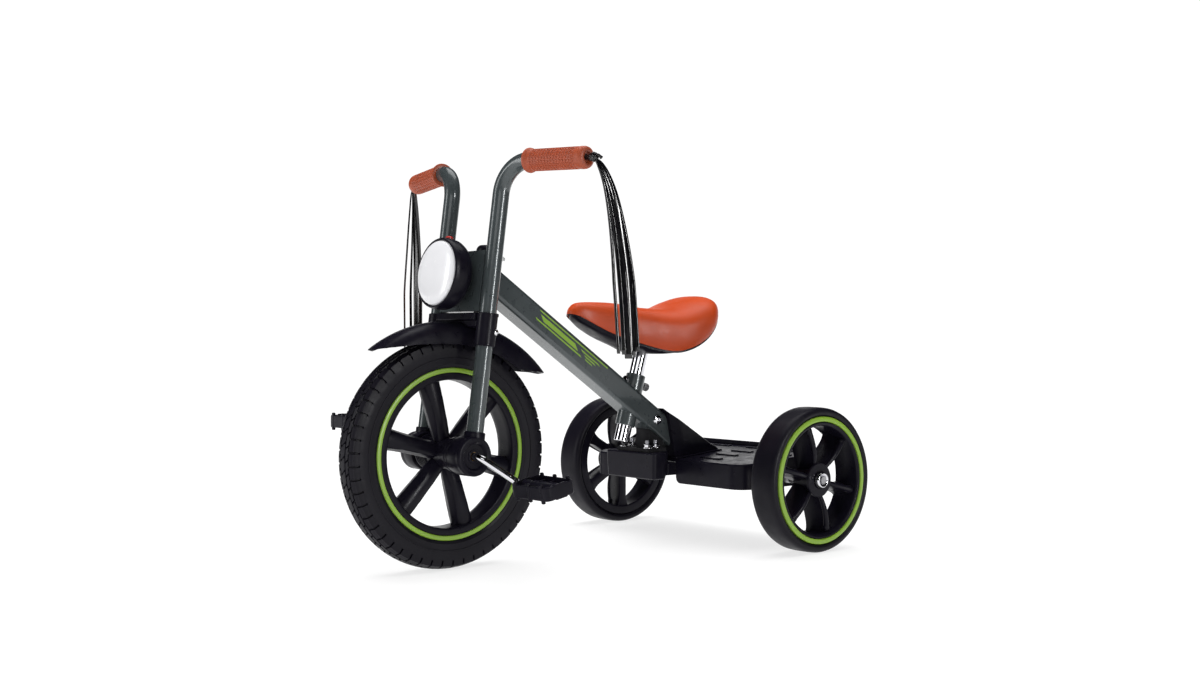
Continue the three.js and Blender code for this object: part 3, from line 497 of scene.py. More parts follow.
def tread_tyre():
    """The front tyre: smooth sidewalls and angled blocks, cut as one closed surface."""
    pitch = math.tau / TREAD_BLOCKS
    cuts = (0.0, 0.035, 0.13, 0.165, 0.5, 0.535, 0.63, 0.665)       # parts of the pitch
    lanes = (0.9, 5.4, 11.2)         # centre lines of the grooves that run round the tyre
    lane_half, wall, slant = 0.6, 0.35, 0.672
    ys = {0.0, TREAD_HALF, TREAD_HALF - 1.5}
    for lane in lanes:
        ys |= {lane - lane_half - wall, lane - lane_half, lane + lane_half, lane + lane_half + wall}
    ys |= {3.2, 8.2, 13.6, 15}       # and rows between them
    tread_ys = sorted(y for y in ys if y >= 0)
    tread_ys = [-y for y in reversed(tread_ys) if y > 0] + tread_ys
    side = [(FRONT_R - depth, y) for depth, y in (
        (5, 18.4), (7.5, 19.3), (10, 19.9), (12, 20.2), (12.8, 20.6), (19, 20.8), (24.6, 20.4),
        (25, 21), (26, 21), (26.4, 20.2), (32, 19.5), (34, 19.4), (34.6, 18.9))]
    side += [(FRONT_BEAD_R + 1, 18.2), (FRONT_BEAD_R, 17.4), (FRONT_BEAD_R, 14)]

    def crown(y):
        return FRONT_R - 0.2 - 4.6 * (abs(y) / TREAD_HALF) ** 2.4

    def groove(y, part):
        """How much of the tread's depth is cut away at this place."""
        size = abs(y)
        for lane in lanes[1:]:
            if abs(size - lane) < lane_half + wall / 2:
                return 1
        band = sum(size > lane for lane in lanes[1:])
        start = 0.5 if band % 2 else 0.0
        inside = start + 0.03 < part < start + 0.135
        return 1 if inside and size > 1.2 else 0

    def lean(y):
        """How far a point is turned round the axle, so that the blocks slant."""
        return math.copysign(slant * min(abs(y), lanes[2]) / FRONT_R, y)

    rows = []
    for k in range(TREAD_BLOCKS):
        for part in cuts:
            here = (k + part) * pitch
            notch = NOTCH_DEPTH * groove(15, part)
            flank = [(r - 0.3 * notch, y - notch) for r, y in side[:NOTCHED_POINTS]]
            flank += side[NOTCHED_POINTS:]
            rows.append([about_y(crown(y) - TREAD_DEPTH * groove(y, part), y, here + lean(y))
                         for y in tread_ys]
                        + [about_y(r, y, here + lean(y)) for r, y in flank]
                        + [about_y(r, -y, here + lean(-y)) for r, y in reversed(flank)])
    return grid(rows, wrap_rows=True)


def spoke():
    """A full spoke along +Z, fattest past its middle, with lens-shaped facets on its flanks."""
    around, along = 48, 26
    facets = [Vector((a, b)).normalized() for a in (-0.95, 0.95) for b in (-0.3, 0.3)]
    rows = []
    for k in range(along + 1):
        t = k / along
        half = 10.5 + 14.75 * t - 11.25 * t * t
        thick = half * 0.95
        depth = 0.78 + 0.22 * (2 * t - 1) ** 2
        row = []
        for j in range(around):
            a = math.tau * j / around
            p = Vector((half * math.cos(a), thick * math.sin(a)))
            for unit in facets:
                reach = depth * math.hypot(half * unit.x, thick * unit.y)
                over = p.dot(unit) - reach
                if over > 0:
                    p -= unit * over
            row.append((p.x, p.y, SPOKE_ROOT + (SPOKE_TIP - SPOKE_ROOT) * t))
        rows.append(row)
    return grid(rows, caps=True)


def front_wheel():
    """Rim, ribbed hub and six spokes as one moulding, the tyre, and a lime ring on each side."""
    seat = FRONT_RING_IN - 0.4
    profile = mirrored([(FRONT_RIM_IN, 15.5), (FRONT_RIM_IN + 1.2, 17.2), (seat, 17.6), (seat, 14),
                        (FRONT_BEAD_R - 0.3, 14)])
    profile += [(FRONT_RIM_IN - 0.6, 9), (FRONT_RIM_IN - 0.6, -9), profile[0]]
    rim = lathe(rounded(profile, 0.9)[:-1], 128, closed=True)
    barrel = [(5.4, -38), (21.5, -38), (23, -36.8), (23, -34)]
    for k in range(5):
        y = -32.6 + 3.6 * k
        barrel += [(21.4, y - 0.6), (21.4, y + 0.6), (23, y + 1.3), (23, y + 2.2)]
    barrel += [(21, -13), (20.6, 13), (21.4, 24), (23, 27.5), (23, 31), (22.3, 31.8), (22.3, 33),
               (23, 33.8), (23, 36.8), (21.5, 38), (5.4, 38)]
    hub = lathe(barrel, 64)
    spokes = [spoke().turned(60 * k + SPOKE_PHASE, "Y") for k in range(6)]
    body = join(rim, hub, *spokes).moved(AT_FRONT)
    piece("front_wheel_spokes", body, "black_plastic", "front_wheel", "front_wheel_rim")
    piece("front_tyre_tread", tread_tyre().moved(AT_FRONT), "tyre_rubber", "front_wheel",
          "front_tyre", sharp=28)
    for side, sign in SIDES:
        inner, outer = FRONT_RING_IN, FRONT_BEAD_R - 0.4
        profile = [(inner + 0.1, 14.4), (outer, 14.4), (outer, 17.4), (outer - 0.8, 18.4),
                   (outer - 2.4, 18.8), (inner + 2.2, 18.9), (inner + 0.8, 18.7),
                   (inner + 0.1, 17.9)]
        ring = lathe(facing(sign, profile), 160, closed=True)
        piece(f"front_trim_{side}", ring.moved(AT_FRONT), "lime_trim", "front_wheel",
              f"front_ring_{side}")


REAR_PHASES = {"left": 15, "right": 0}   # degrees from upright to the first fin
REAR_BEAD_R, REAR_RING_IN, REAR_NUT_Y = 89.3, 81.9, 17.5
FIN_ROOT, FIN_LENGTH = 13, 62.5


def rear_spokes(sign, phase):
    """Six deep fins, thickest on their inner edge; the outer edge is a rib that ends in a knob."""
    out = Shape()
    for k in range(6):
        rows = []
        for j in range(21):
            t = j / 20
            outer = 8 + 3 * t + 6 * math.sin(math.pi * t)
            rib = 3.0 + 1.7 * t ** 1.4
            thick = 7.2 + 4 * max(0, (t - 0.75) / 0.25) ** 2
            flank = [(thick - 1.6, -18.4), (thick - 0.4, -17.9), (thick, -16.6),
                     (thick * 0.72 + 1, -6), (2.6, outer - rib - 1.5)]
            arc = [math.radians(-55 + 290 * i / 14) for i in range(15)]
            section = flank + [(rib * math.cos(a), outer + rib * math.sin(a)) for a in arc]
            section += [(-x, y) for x, y in reversed(flank)]
            rows.append([(x, y, FIN_ROOT + FIN_LENGTH * t) for x, y in section])
        knob = lathe([(0, -4), (3.4, -4), (5.2, -2.6), (5.6, 0), (5.2, 2.4), (3.6, 4), (0, 4.4)],
                     20)
        knob = knob.turned(90, "X").shifted(0, 11.5, 70.5)
        out.add(join(grid(rows, caps=True), knob).turned(60 * k + phase, "Y"))
    return out if sign > 0 else out.turned(180, "X")


def rear_wheels():
    """For each side the tyre, the finned moulding, the lime ring and the dished axle nut."""
    bead, ring_in = REAR_BEAD_R, REAR_RING_IN
    for side, sign in SIDES:
        at = Matrix.Translation((REAR_X, sign * REAR_Y, REAR_R))
        body = f"rear_wheel_{side}"
        half = [(bead, 14), (bead + 0.6, 19.6), (bead + 2, 21.4), (bead + 5, 22),
                (bead + 8.5, 21.8), (REAR_R - 1.6, 19.5), (REAR_R - 0.5, 16.5),
                (REAR_R - 0.1, 11), (REAR_R, 5)]
        tyre = half + facing(-1, half)[::-1]
        piece(f"rear_tyre_smooth_{side}", lathe(tyre, 144, closed=True).moved(at), "tyre_rubber",
              body, f"rear_tyre_{side}", sharp=60)
        rim = lathe(rounded(facing(sign, [
            (75.5, -19), (77, -20.2), (bead - 0.4, -20.2), (bead - 0.4, 17), (ring_in - 0.4, 17),
            (ring_in - 0.4, 20.6), (ring_in - 1.4, 21.6), (78, 21.2), (76, 19), (75.2, 4),
            (75.5, -19)]), 0.8)[:-1], 128, closed=True)
        hub = lathe(facing(sign, [
            (9.4, -20), (15.5, -20), (17, -18.5), (17.5, 8), (24, 12.5), (24, 15.8), (23, 16.8),
            (13, 17), (12.2, 15.6), (9.4, 15.4)]), 64)
        piece(f"rear_wheel_spokes_{side}",
              join(rim, hub, rear_spokes(sign, REAR_PHASES[side])).moved(at), "black_plastic",
              body, f"rear_wheel_rim_{side}")
        trim = facing(sign, [
            (ring_in, 17.4), (bead - 0.5, 17.4), (bead - 0.5, 21), (bead - 1.3, 22.1),
            (bead - 3, 22.5), (ring_in + 1.6, 22.6), (ring_in + 0.5, 22.2), (ring_in, 21)])
        piece(f"rear_trim_{side}", lathe(trim, 144, closed=True).moved(at), "lime_trim", body,
              f"rear_ring_{side}")
        nut = facing(sign, [(r, REAR_NUT_Y + y) for r, y in (
            (0, 1), (3.4, 1), (5.8, 2.6), (7.8, 5), (8.8, 6.4), (10, 6.2), (11.1, 4), (11.5, 1.2),
            (11.5, 0), (0, 0))])
        piece(f"rear_nut_dished_{side}", lathe(rounded(nut, 0.6), 48).moved(at), "chrome", "frame",
              f"rear_axle_nut_{side}")


# ---- crank and pedals
CRANK_END, CRANK_BEND, CRANK_STRAIGHT = 190, 110, 79
PEDAL_Y = 155
PEDAL_TILTS = {"left": 12, "right": 0}   # degrees, front edge down


def crank():
    """The axle rod, whose two ends are offset to opposite sides, with a pedal on each."""
    x, z = -CRANK_R * math.cos(CRANK_ANGLE), -CRANK_R * math.sin(CRANK_ANGLE)
    half = [(x, CRANK_END, z), (x, CRANK_BEND, z), (0, CRANK_STRAIGHT, 0)]
    route = bend([(-x, -y, -z) for x, y, z in half] + half[::-1], 13, steps=10, run=3)
    piece("crank_rod", rod_along(route, AXLE_R, 28).moved(AT_FRONT), "chrome", "front_wheel",
          "crank_axle")
    for side, sign in SIDES:
        at = Matrix.Translation((sign * x, sign * PEDAL_Y, FRONT_R + sign * z))
        at = at @ Matrix.Rotation(math.radians(PEDAL_TILTS[side]), 4, "Y")
        piece(f"pedal_cage_{side}", pedal().moved(at), "black_plastic", f"pedal_{side}",
              f"pedal_{side}", flat=True)


def pedal():
    """A cage pedal: a band with grip nubs round it, a barrel and webs that join them."""
    half_x, half_y, high, wall = 23.5, 37.5, 8.4, 2.6
    outer = rounded_outline(half_x - 0.8, half_y, 8, 8)
    points, inward = inward_normals(outer)
    belly = [(0.9, -high), (0.2, -high + 0.8), (0, 0), (0.2, high - 0.8), (0.9, high),
             (wall - 0.6, high), (wall, high - 0.8), (wall, 0.8 - high), (wall - 0.6, -high)]
    out = grid([[(p.x + n.x * inset, p.y + n.y * inset, z) for inset, z in belly]
                for p, n in zip(points, inward)], wrap_rows=True)
    for sign in (1, -1):
        for y in (-26, 0, 26):
            out.add(plate(rounded_outline(1.9, 2.6, 1.2), -12, 12, 1.3)
                    .shifted(sign * (half_x - 2.4), y, 0))
        out.add(plate(rounded_outline(1.3, 9, 1), -9.6, 9.6, 1).turned(90, "Z")
                .shifted(0, sign * (half_y - 1.6), 0))
        out.add(plate(rounded_outline(3.4, half_y - 5, 1.2), -2.6, 3.8, 0.7)
                .shifted(sign * 11, 0, 0))
    barrel = mirrored([(0, 36.4), (7.4, 36.4), (8.2, 35), (8.2, 27), (6.8, 22)])
    out.add(lathe(rounded(barrel, 0.8), 28))
    for y in (-19, 0, 19):
        out.add(plate(rounded_outline(half_x - 2.5, 1.5, 0.8), -4.6, 4.6, 0.5).shifted(0, y, 0))
    return out


# ---- fork, handlebar and lamp
def bar_direction(sign):
    return Vector((-0.19, sign, -0.02)).normalized()


def bar_point(sign, along):
    return Vector((LEG_X, sign * LEG_Y, BAR_TOP)) + bar_direction(sign) * along


def handlebar():
    """Each fork leg and its half of the handlebar are one bent tube, with a grip on its end."""
    for side, sign in SIDES:
        route = bend([(LEG_X, sign * LEG_Y, LEG_FOOT), (LEG_X, sign * LEG_Y, BAR_TOP),
                      bar_point(sign, GRIP_START + GRIP_LENGTH - 4)], BEND_R, 18, 10)
        piece(f"handlebar_{side}", rod_along(route, TUBE_R, 48).moved(AT_FORK), "frame_paint",
              "steering", f"handlebar_tube_{side}")
        turn = towards(bar_direction(sign))
        at = AT_FORK @ Matrix.Translation(bar_point(sign, GRIP_START)) @ turn
        piece(f"grip_dimpled_{side}", grip().moved(at), "grip_rubber", "steering", f"grip_{side}",
              sharp=40)


def grip():
    """A soft grip with rows of small square pads between two collars."""
    rows_long, rows_round, pad_height = 15, 20, 1.1
    start, end, core = 9, 84, 13.2
    pitch = (end - start) / rows_long
    steps = (0.0, 0.26, 0.42, 0.84)
    head = [(11.3, 0.2), (14.8, 0.2), (15.9, 1.0), (16.2, 2.4), (15.9, 4), (14.6, 5.4), (13.5, 7.5)]
    tail = [(13.4, 85), (14.1, 86.4), (14.4, 91), (14.2, 95), (13.2, 97.8), (11.2, 99.2),
            (8.4, GRIP_LENGTH), (7.2, 98.6), (6.6, 96), (4.2, 95.6)]
    stations = [(r, y, False) for r, y in head]
    for k in range(rows_long):
        for j, step in enumerate(steps):
            stations.append((core, start + (k + step) * pitch, j >= 2))
    stations += [(r, y, False) for r, y in tail]
    rows = []
    for radius, y, raised in stations:
        row = []
        for k in range(rows_round):
            for j, step in enumerate(steps):
                r = radius + (pad_height if raised and j >= 2 else 0)
                row.append(about_y(r, y, math.tau * (k + step) / rows_round))
        rows.append(row)
    return grid(rows, caps=True)


def fork_legs():
    """For each leg the dished cup at its foot and the screw in its sleeve on the bridge."""
    sleeve_r, screw_z = 13.6, 160
    for side, sign in SIDES:
        shell = lathe(facing(sign, [
            (12.4, 41), (22.8, 41), (25, 42.2), (25.6, 44.5), (25.6, 60), (25, 62), (25.4, 64),
            (25.4, 68.5), (24, 70.8), (21.5, 71.4), (18, 70.4), (16.6, 68.4), (15.6, 66.9),
            (9, 66.7), (8.4, 67.6), (5.8, 67.6), (5.8, 66.2), (12.4, 66.2)]), 64, closed=True)
        socket = along_z(lathe([(11.4, 16), (13.6, 16), (13.6, 29.6), (12.8, 31), (11.4, 31)], 40,
                               closed=True)).shifted(LEG_X, sign * LEG_Y, 0)
        piece(f"axle_cup_{side}", join(shell, socket).moved(AT_FORK), "black_plastic", "steering",
              f"axle_housing_{side}")
        out = Vector((-0.55, sign * 0.84, 0)).normalized()
        head = lathe([(0, 0), (4.3, 0), (4.3, 0.8), (3.6, 2), (2.2, 2.8), (1.2, 2.9), (1.0, 1.6),
                      (0, 1.6)], 28)
        place = Vector((LEG_X, sign * LEG_Y, screw_z)) + out * sleeve_r
        head = head.moved(AT_FORK @ (Matrix.Translation(place) @ towards(out)))
        piece(f"bridge_screw_head_{side}", head, "chrome", "steering", f"bridge_screw_{side}")


def fork_bridge():
    """A sleeve round each leg and the bar between them."""
    low, high = 141, 184
    sleeves = [along_z(lathe([(11.3, low), (12.8, low), (13.4, low + 0.8), (13.4, high - 1.2),
                              (12.8, high - 0.4), (11.3, high - 0.2)], 48, closed=True))
               .shifted(LEG_X, sign * LEG_Y, 0) for _, sign in SIDES]
    bar = plate(rounded_outline(11, LEG_Y - 11.6, 2), 174.2, high - 0.3, 1.2).shifted(-3, 0, 0)
    rib = plate(rounded_outline(7, LEG_Y - 12, 2), 166, 174.4, 1).shifted(-3, 0, 0)
    piece("fork_bridge_moulding", join(*sleeves, bar, rib).moved(AT_FORK), "black_plastic",
          "steering", "fork_bridge", flat=True)


def headlamp():
    """A round bowl with a milky lens, and the push button on its top."""
    def at_lamp(profile):
        return lathe(profile).turned(-90, "Z").shifted(0, 0, LAMP_Z).moved(AT_FORK)

    bowl = rounded([(0, 3.4), (14, 3.4), (14.6, 8.6), (21, 9), (30, 10.4), (37.5, 13.6),
                    (43, 18.4), (46.2, 24.6), (LAMP_R, 31), (LAMP_R, 38.5), (46.3, 42.6),
                    (45.2, 44.6), (43.4, 44.4), (43, 40.4), (0, 38)], 1.2)
    piece("lamp_bowl", at_lamp(bowl), "black_plastic", "steering", "lamp_housing")
    dome = [(0, 39), (42.6, 40.6), (42.8, 42.6), (42.2, 44)]
    quarter = [math.pi / 2 * k / 14 for k in range(1, 14)]
    dome += [(42 * math.cos(a), 44.2 + 7.3 * math.sin(a)) for a in quarter] + [(0, 51.5)]
    piece("lamp_dome", at_lamp(dome), "lens", "steering", "lamp_lens", sharp=50)
    button = rounded([(r, LAMP_Z + up) for r, up in ((0, 42), (5, 42), (5, 49), (3.6, 50.2),
                                                     (0, 50.5))], 0.7)
    button = along_z(lathe(button, 32)).shifted(30, 0, 0).moved(AT_FORK)
    piece("lamp_push_button", button, "button", "lamp_button", "lamp_button")


GUARD_X, GUARD_Z, GUARD_R, GUARD_LOW_R = -4.5, 128.7, 193.7, 160


def mudguard():
    """A domed band round the wheel whose side edges sweep up to a point at each end."""
    lower = [(-153, 252), (-139, 253), (-125, 254.5), (-107, 256), (-97, 258), (-88, 262),
             (-74, 270), (-60, 277), (-40, 284.5), (-20, 289), (5, 291.7), (30, 292), (50, 291.4),
             (70, 290), (90, 288), (108, 286)]

    def polar(x, z):
        return math.atan2(z - GUARD_Z, x - GUARD_X), math.hypot(x - GUARD_X, z - GUARD_Z)

    front, rear = polar(110, 286)[0], polar(-154, 252)[0]
    edge_angles, edge_radii = zip(*sorted(polar(x, z) for x, z in lower))

    def dome(crown, half, t):
        """A point of the cross-section: t is 0 at the crown and 1 at the skirt."""
        return (cubic(GUARD_LOW_R, crown * 0.96, crown + 0.3, crown, 1 - t),
                half * cubic(1, 1, 0.72, 0, 1 - t))

    def section(crown, half, cut_r):
        ts = [k / 60 for k in range(61)]
        last = max((t for t in ts if dome(crown, half, t)[0] >= cut_r), default=0.02)
        side = [dome(crown, half, last * k / 12) for k in range(13)]
        return [(r, y) for r, y in reversed(side)] + [(r, -y) for r, y in side[1:]]

    rows, steps = [], 90
    for k in range(steps + 1):
        a = front + (rear - front) * k / steps
        cut_r = min(float(np.interp(a, edge_angles, edge_radii)), GUARD_R - 0.6)
        outer, inner = section(GUARD_R, 30, cut_r), section(GUARD_R - 2.4, 27.6, cut_r)
        loop = outer + inner[::-1]
        rows.append([(GUARD_X + r * math.cos(a), y, GUARD_Z + r * math.sin(a)) for r, y in loop])
    piece("mudguard_shell", grid(rows, caps=True), "black_plastic", "steering", "mudguard",
          sharp=50)


# ---- streamers
RIBBON_DROP = 247
# Each ribbon: how far back and how far out its end lies, width, share of the drop, twist.
RIBBON_SET = [(-6.0, -1.5, 6.0, 0.98, 0.10), (0.0, 0.0, 9.5, 1.0, -0.14),
              (6.5, 2.2, 9.0, 0.985, 0.20), (12.5, 0.6, 8.5, 0.965, -0.30),
              (9.5, -2.4, 7.5, 0.95, 0.34), (3.0, -3.6, 8.0, 0.99, -0.06),
              (-16.5, 1.0, 4.2, 0.975, 0.05)]


def ribbon(centre, start, sign, end_x, depth, width, share, twist, phase):
    """One strip of vinyl, creased along its middle, and its length."""
    rows, length, before = [], 0.0, None
    for i in range(49):
        t = i / 48
        fan = min(1, 1.25 * t) ** 1.2
        place = along_curve(centre, t)
        x = place[0] - end_x * fan
        y = place[1] + depth * (0.25 + 0.75 * fan) + 0.9 * fan * math.sin(phase + 6 * t)
        point = start + Vector((x, sign * y, place[2] * share))
        half = width / 2 * min(1, 0.45 + 2.2 * t)
        angle = -0.55 + twist * (0.3 + fan) + 0.16 * math.sin(phase + 4 * t)
        way = Vector((math.cos(angle), math.sin(angle) * sign, 0))
        out = Vector((-math.sin(angle), math.cos(angle) * sign, 0))
        crease = 0.55 + 0.35 * math.sin(phase + 3 * t)
        rows.append([point - way * half - out * crease, point - way * half * 0.52 + out * 0.1,
                     point + out * crease * 0.5, point + way * half * 0.5 + out * 0.15,
                     point + way * half - out * crease])
        if before is not None:
            length += (point - before).length
        before = point
    return grid(rows, wrap_columns=False), length


def streamers():
    """A plug and knot at each grip end, and ribbons that arc out and hang down."""
    spread = random.Random(7)
    for side, sign in SIDES:
        start = AT_FORK @ bar_point(sign, GRIP_START + GRIP_LENGTH + 8)
        plug = lathe(rounded([(0, -8), (3.6, -8), (3.6, 1), (5, 2.4), (5, 6), (4, 9), (0, 10)],
                             0.8), 28)
        at = AT_FORK @ Matrix.Translation(bar_point(sign, GRIP_START + GRIP_LENGTH))
        plug = plug.moved(at @ towards(bar_direction(sign)))
        loops = Shape()
        for tilt, size in ((20, 4.4), (-35, 4.2), (75, 3.4)):
            circle = [about_y(size, 0, math.tau * k / 24) for k in range(25)]
            loops.add(rod_along(circle, 2.1, 14).turned(tilt, "Z").shifted(0, sign * 1, 0))
        stub = bend([(0, sign * 1, 2), (-2, sign * 7, 2.5), (-6, sign * 9.5, -2)], 2, 6, 3)
        loops.add(rod_along(stub, [1.7] * (len(stub) - 2) + [2.3, 2.0], 12))
        loops = loops.shifted(*start)
        knot = piece(f"streamer_knot_{side}", join(plug, loops), "black_ribbon", "steering",
                     f"streamer_{side}")
        centre = [(0, 0, 0), (-3, 9, -10), (-10, 19, -42), (-16, 28, -95), (-20, 35, -160),
                  (-23, 39, -RIBBON_DROP)]
        fringe, area, widths = Shape(), 0.0, 0.0
        for end_x, depth, width, share, twist in RIBBON_SET:
            strip, length = ribbon(centre, start, sign, end_x, depth, width, share, twist,
                                   spread.uniform(0, math.tau))
            fringe.add(strip)
            area += length * width
            widths += width
        cloth = piece(f"streamer_ribbons_{side}", fringe, "black_ribbon", "steering",
                      f"streamer_{side}", sharp=80)
        thick = cloth.modifiers.new("thickness", "SOLIDIFY")
        thick.thickness = 0.0003


def along_curve(points, t):
    """A smooth curve through the points, Catmull-Rom, at t from 0 to 1."""
    spans = len(points) - 1
    i = min(int(t * spans), spans - 1)
    u = t * spans - i
    p = [Vector(points[max(0, min(spans, i + k))]) for k in (-1, 0, 1, 2)]
    return 0.5 * (2 * p[1] + (p[2] - p[0]) * u + (2 * p[0] - 5 * p[1] + 4 * p[2] - p[3]) * u * u
                  + (3 * p[1] - p[0] - 3 * p[2] + p[3]) * u ** 3)


# ---- frame
BEAM_ANGLE = math.atan(BEAM_SLOPE)


def beam_z(x):
    return BEAM_Z + BEAM_SLOPE * (x - BEAM_X)


BEAM_RISE = BEAM_DEPTH / 2 / math.cos(BEAM_ANGLE)
HEAD_TUBE_R = 17.3


def steer_x_at(z):
    """The steering axis at a height, in the side view."""
    up = (z - FRONT_R - STEER_X * math.sin(RAKE)) / math.cos(RAKE)
    return STEER_X * math.cos(RAKE) - up * math.sin(RAKE)


def beam_point(x, a, b):
    """A point of the beam's skin: a across its depth, b across its width, cut square at x."""
    return Vector((x, b, beam_z(x) + a / math.cos(BEAM_ANGLE)))


def main_beam():
    """The box beam, whose front end is cut to fit the back of the head tube."""
    section = rounded_outline(BEAM_DEPTH / 2, BEAM_HALF_W, 5.5, 8)
    rows, ahead = [], []
    for a, b in section:
        x = -60.0
        for _ in range(12):             # each round comes closer to where beam and tube meet
            z = beam_point(x, a, b).z
            notch = math.sqrt(max(HEAD_TUBE_R ** 2 - min(abs(b), HEAD_TUBE_R) ** 2, 0))
            x = steer_x_at(z) - notch / math.cos(RAKE)
        ahead.append(x)
    for k in range(25):
        t = k / 24
        rows.append([beam_point(x0 + (BEAM_END - x0) * t, a, b)
                     for x0, (a, b) in zip(ahead, section)])
    piece("beam_tube", grid(rows, caps=True), "frame_paint", "frame", "main_beam", sharp=40,
          flat=True)


def decal():
    """Plain lime stripes on the beam's left side: two lines, a band between and three dashes."""
    def strip(x0, x1, v0, v1, skew=0.0):
        lift = BEAM_HALF_W + 0.15
        corners = [(x0, v0), (x1, v0), (x1 + skew, v1), (x0 + skew, v1)]
        front = [beam_point(x, v, lift) for x, v in corners]
        back = [p - Vector((0, 0.12, 0)) for p in front]
        return grid([front, back], caps=True)

    stripes = join(strip(-142, -262, 9.6, 11.4), strip(-148, -208, 0.6, 6.6, 5),
                   strip(-136, -214, -3.6, -1.6, 2), strip(-216, -248, 4.4, 6.2, 3),
                   strip(-222, -240, 0.8, 2.6, 3), strip(-222, -234, -2.8, -1.2, 2))
    piece("beam_stripes", stripes, "lime_trim", "frame")


def at_post(shape):
    return along_z(shape).moved(AT_POST)


def seat_post():
    """The painted seat tube and the chrome post that slides in it."""
    tube = lathe(rounded([(11.7, 24), (14.3, 24), (14.3, 100), (11.7, 100)], 0.8), 48)
    piece("seat_tube_round", at_post(tube), "frame_paint", "frame", "seat_tube")
    post = lathe([(0, 0), (POST_R - 0.6, 0), (POST_R, 0.8), (POST_R, 60), (POST_R, POST_LENGTH),
                  (0, POST_LENGTH)], 64)
    piece("seat_post_chrome", at_post(post), "chrome", "saddle", "seat_post")


def clamp():
    """Hex nut ahead of the seat tube and a knurled locking screw behind it."""
    at = AT_POST @ Matrix.Translation((0, 0, 88)) @ Matrix.Rotation(math.radians(-90), 4, "Z")
    nut = lathe([(3.4, 14.8), (5.8, 14.8), (6.9, 15.8), (6.9, 18.9), (5.9, 20), (3.4, 20)], 6)
    piece("clamp_hex_nut", nut.moved(at), "chrome", "frame", "seat_clamp_nut", bevel=0.3)
    knob = toothed([(0.01, -26.2, False), (4.4, -26.2, False), (5.2, -25.6, False),
                    (5.8, -24.8, True), (5.8, -17.2, True), (5.2, -16.6, False),
                    (3.2, -16.2, False), (3.1, -12, False), (0.01, -12, False)], 22, 0.55)
    piece("clamp_knurled_screw", knob.moved(at), "chrome", "clamp_screw", "seat_clamp_screw",
          look="steel")


def bolts():
    """The bolt head on the beam's left side, and four studs with nuts on the pad beneath it."""
    head = lathe(rounded([(0, 18.7), (7.2, 18.7), (7.2, 19.6), (6.2, 21.6), (3.4, 22.9),
                          (2.6, 22.6), (2.2, 21.2), (0, 21)], 0.5), 40)
    place = middle("beam_bolt") / MM
    piece("beam_bolt_dome", head.shifted(place.x - SHIFT, 0, place.z), "chrome", "frame",
          "beam_bolt")
    for side, sign in SIDES:
        for end in ("front", "rear"):
            name = f"pad_bolt_{end}_{side}"
            low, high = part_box(name)
            x, y = (low.x + high.x) / 2 / MM - SHIFT, (low.y + high.y) / 2 / MM
            z = low.z / MM
            washer = lathe(rounded([(0, 0), (6.2, 0), (6.2, 1.2), (0, 1.2)], 0.3), 28)
            nut = lathe([(0, 1.2), (5, 1.2), (5.3, 1.6), (5.3, 5.2), (4.6, 5.9), (0, 5.9)], 6)
            stud = [(0, 5.9)]
            for k in range(5):
                stud += [(2.9, 6.1 + 1.1 * k), (3.4, 6.6 + 1.1 * k)]
            stud += [(2.9, 11.6), (0, 11.8)]
            bolt = along_z(join(washer, nut, lathe(stud, 24))).shifted(x, y, z)
            piece(f"{name}_hex", bolt, "chrome", "frame", name)


# ---- saddle
CROWN = [(-207, 338), (-213, 345), (-224, 350), (-256, 351), (-290, 349.5), (-335, 344),
         (-376, 345), (-415, 357), (-440, 363), (-457, 359), (-466, 345)]
PLAN = [(-207, 0), (-208.5, 7), (-215, 14.5), (-235, 22), (-265, 27), (-300, 34), (-335, 47),
        (-370, 63), (-400, 71), (-425, 69), (-447, 54), (-459, 34), (-464.5, 16), (-466, 0)]
RIM = [(-200, 336), (-214, 331), (-237, 319), (-265, 307), (-300, 296), (-330, 287), (-360, 280),
       (-385, 284), (-410, 296), (-435, 315), (-455, 332), (-475, 346)]
SADDLE_STATIONS, SHELL_INSET, SHELL_TAIL_X = 72, 2.2, -372


def curve_through(points, steps):
    return [along_curve([(x, y, 0) for x, y in points], k / steps) for k in range(steps + 1)]


def height_on(points):
    """The height at any x of a curve whose points run from the nose to the tail."""
    line = curve_through(points, 400)[::-1]
    xs, zs = [p.x for p in line], [p.y for p in line]
    return lambda x: float(np.interp(x, xs, zs))


def saddle_stations(inset):
    """Place along the saddle, half-width, crown and rim height, from nose to tail."""
    crown, rim = height_on(CROWN), height_on(RIM)
    centre = (PLAN[0][0] + PLAN[-1][0]) / 2
    half = (PLAN[0][0] - PLAN[-1][0]) / 2
    samples = 600
    line = curve_through(PLAN, samples)
    out = []
    for k in range(1, SADDLE_STATIONS):
        t = k / SADDLE_STATIONS
        p = line[round(samples * t)]
        x = centre + (p.x - centre) * (half - inset) / half
        out.append((x, max(p.y - inset, 0.4), crown(p.x) - inset, rim(p.x)))
    return out


def saddle_side(width, crown, rim, down):
    """Points of one side of the section, from the crown down to the height `down`.

    The section is part of a superellipse; the smaller its power, the squarer it is.
    """
    power, floor = 0.8, rim - 16
    mid, half = (crown + floor) / 2, (crown - floor) / 2
    share = max(-1.0, min(0.98, (down - mid) / half))
    last = math.copysign(abs(share) ** (1 / power), share)
    low = math.asin(last)
    out = []
    for k in range(21):
        a = math.pi / 2 + (low - math.pi / 2) * k / 20
        c, s = max(math.cos(a), 0), math.sin(a)
        out.append((width * c ** power, mid + half * math.copysign(abs(s) ** power, s)))
    return out


def section_across(x, half, shared=0):
    """A closed section at x from its left half, whose first `shared` points lie in the middle."""
    return [(x, y, z) for y, z in half] + [(x, -y, z) for y, z in reversed(half[shared:])]


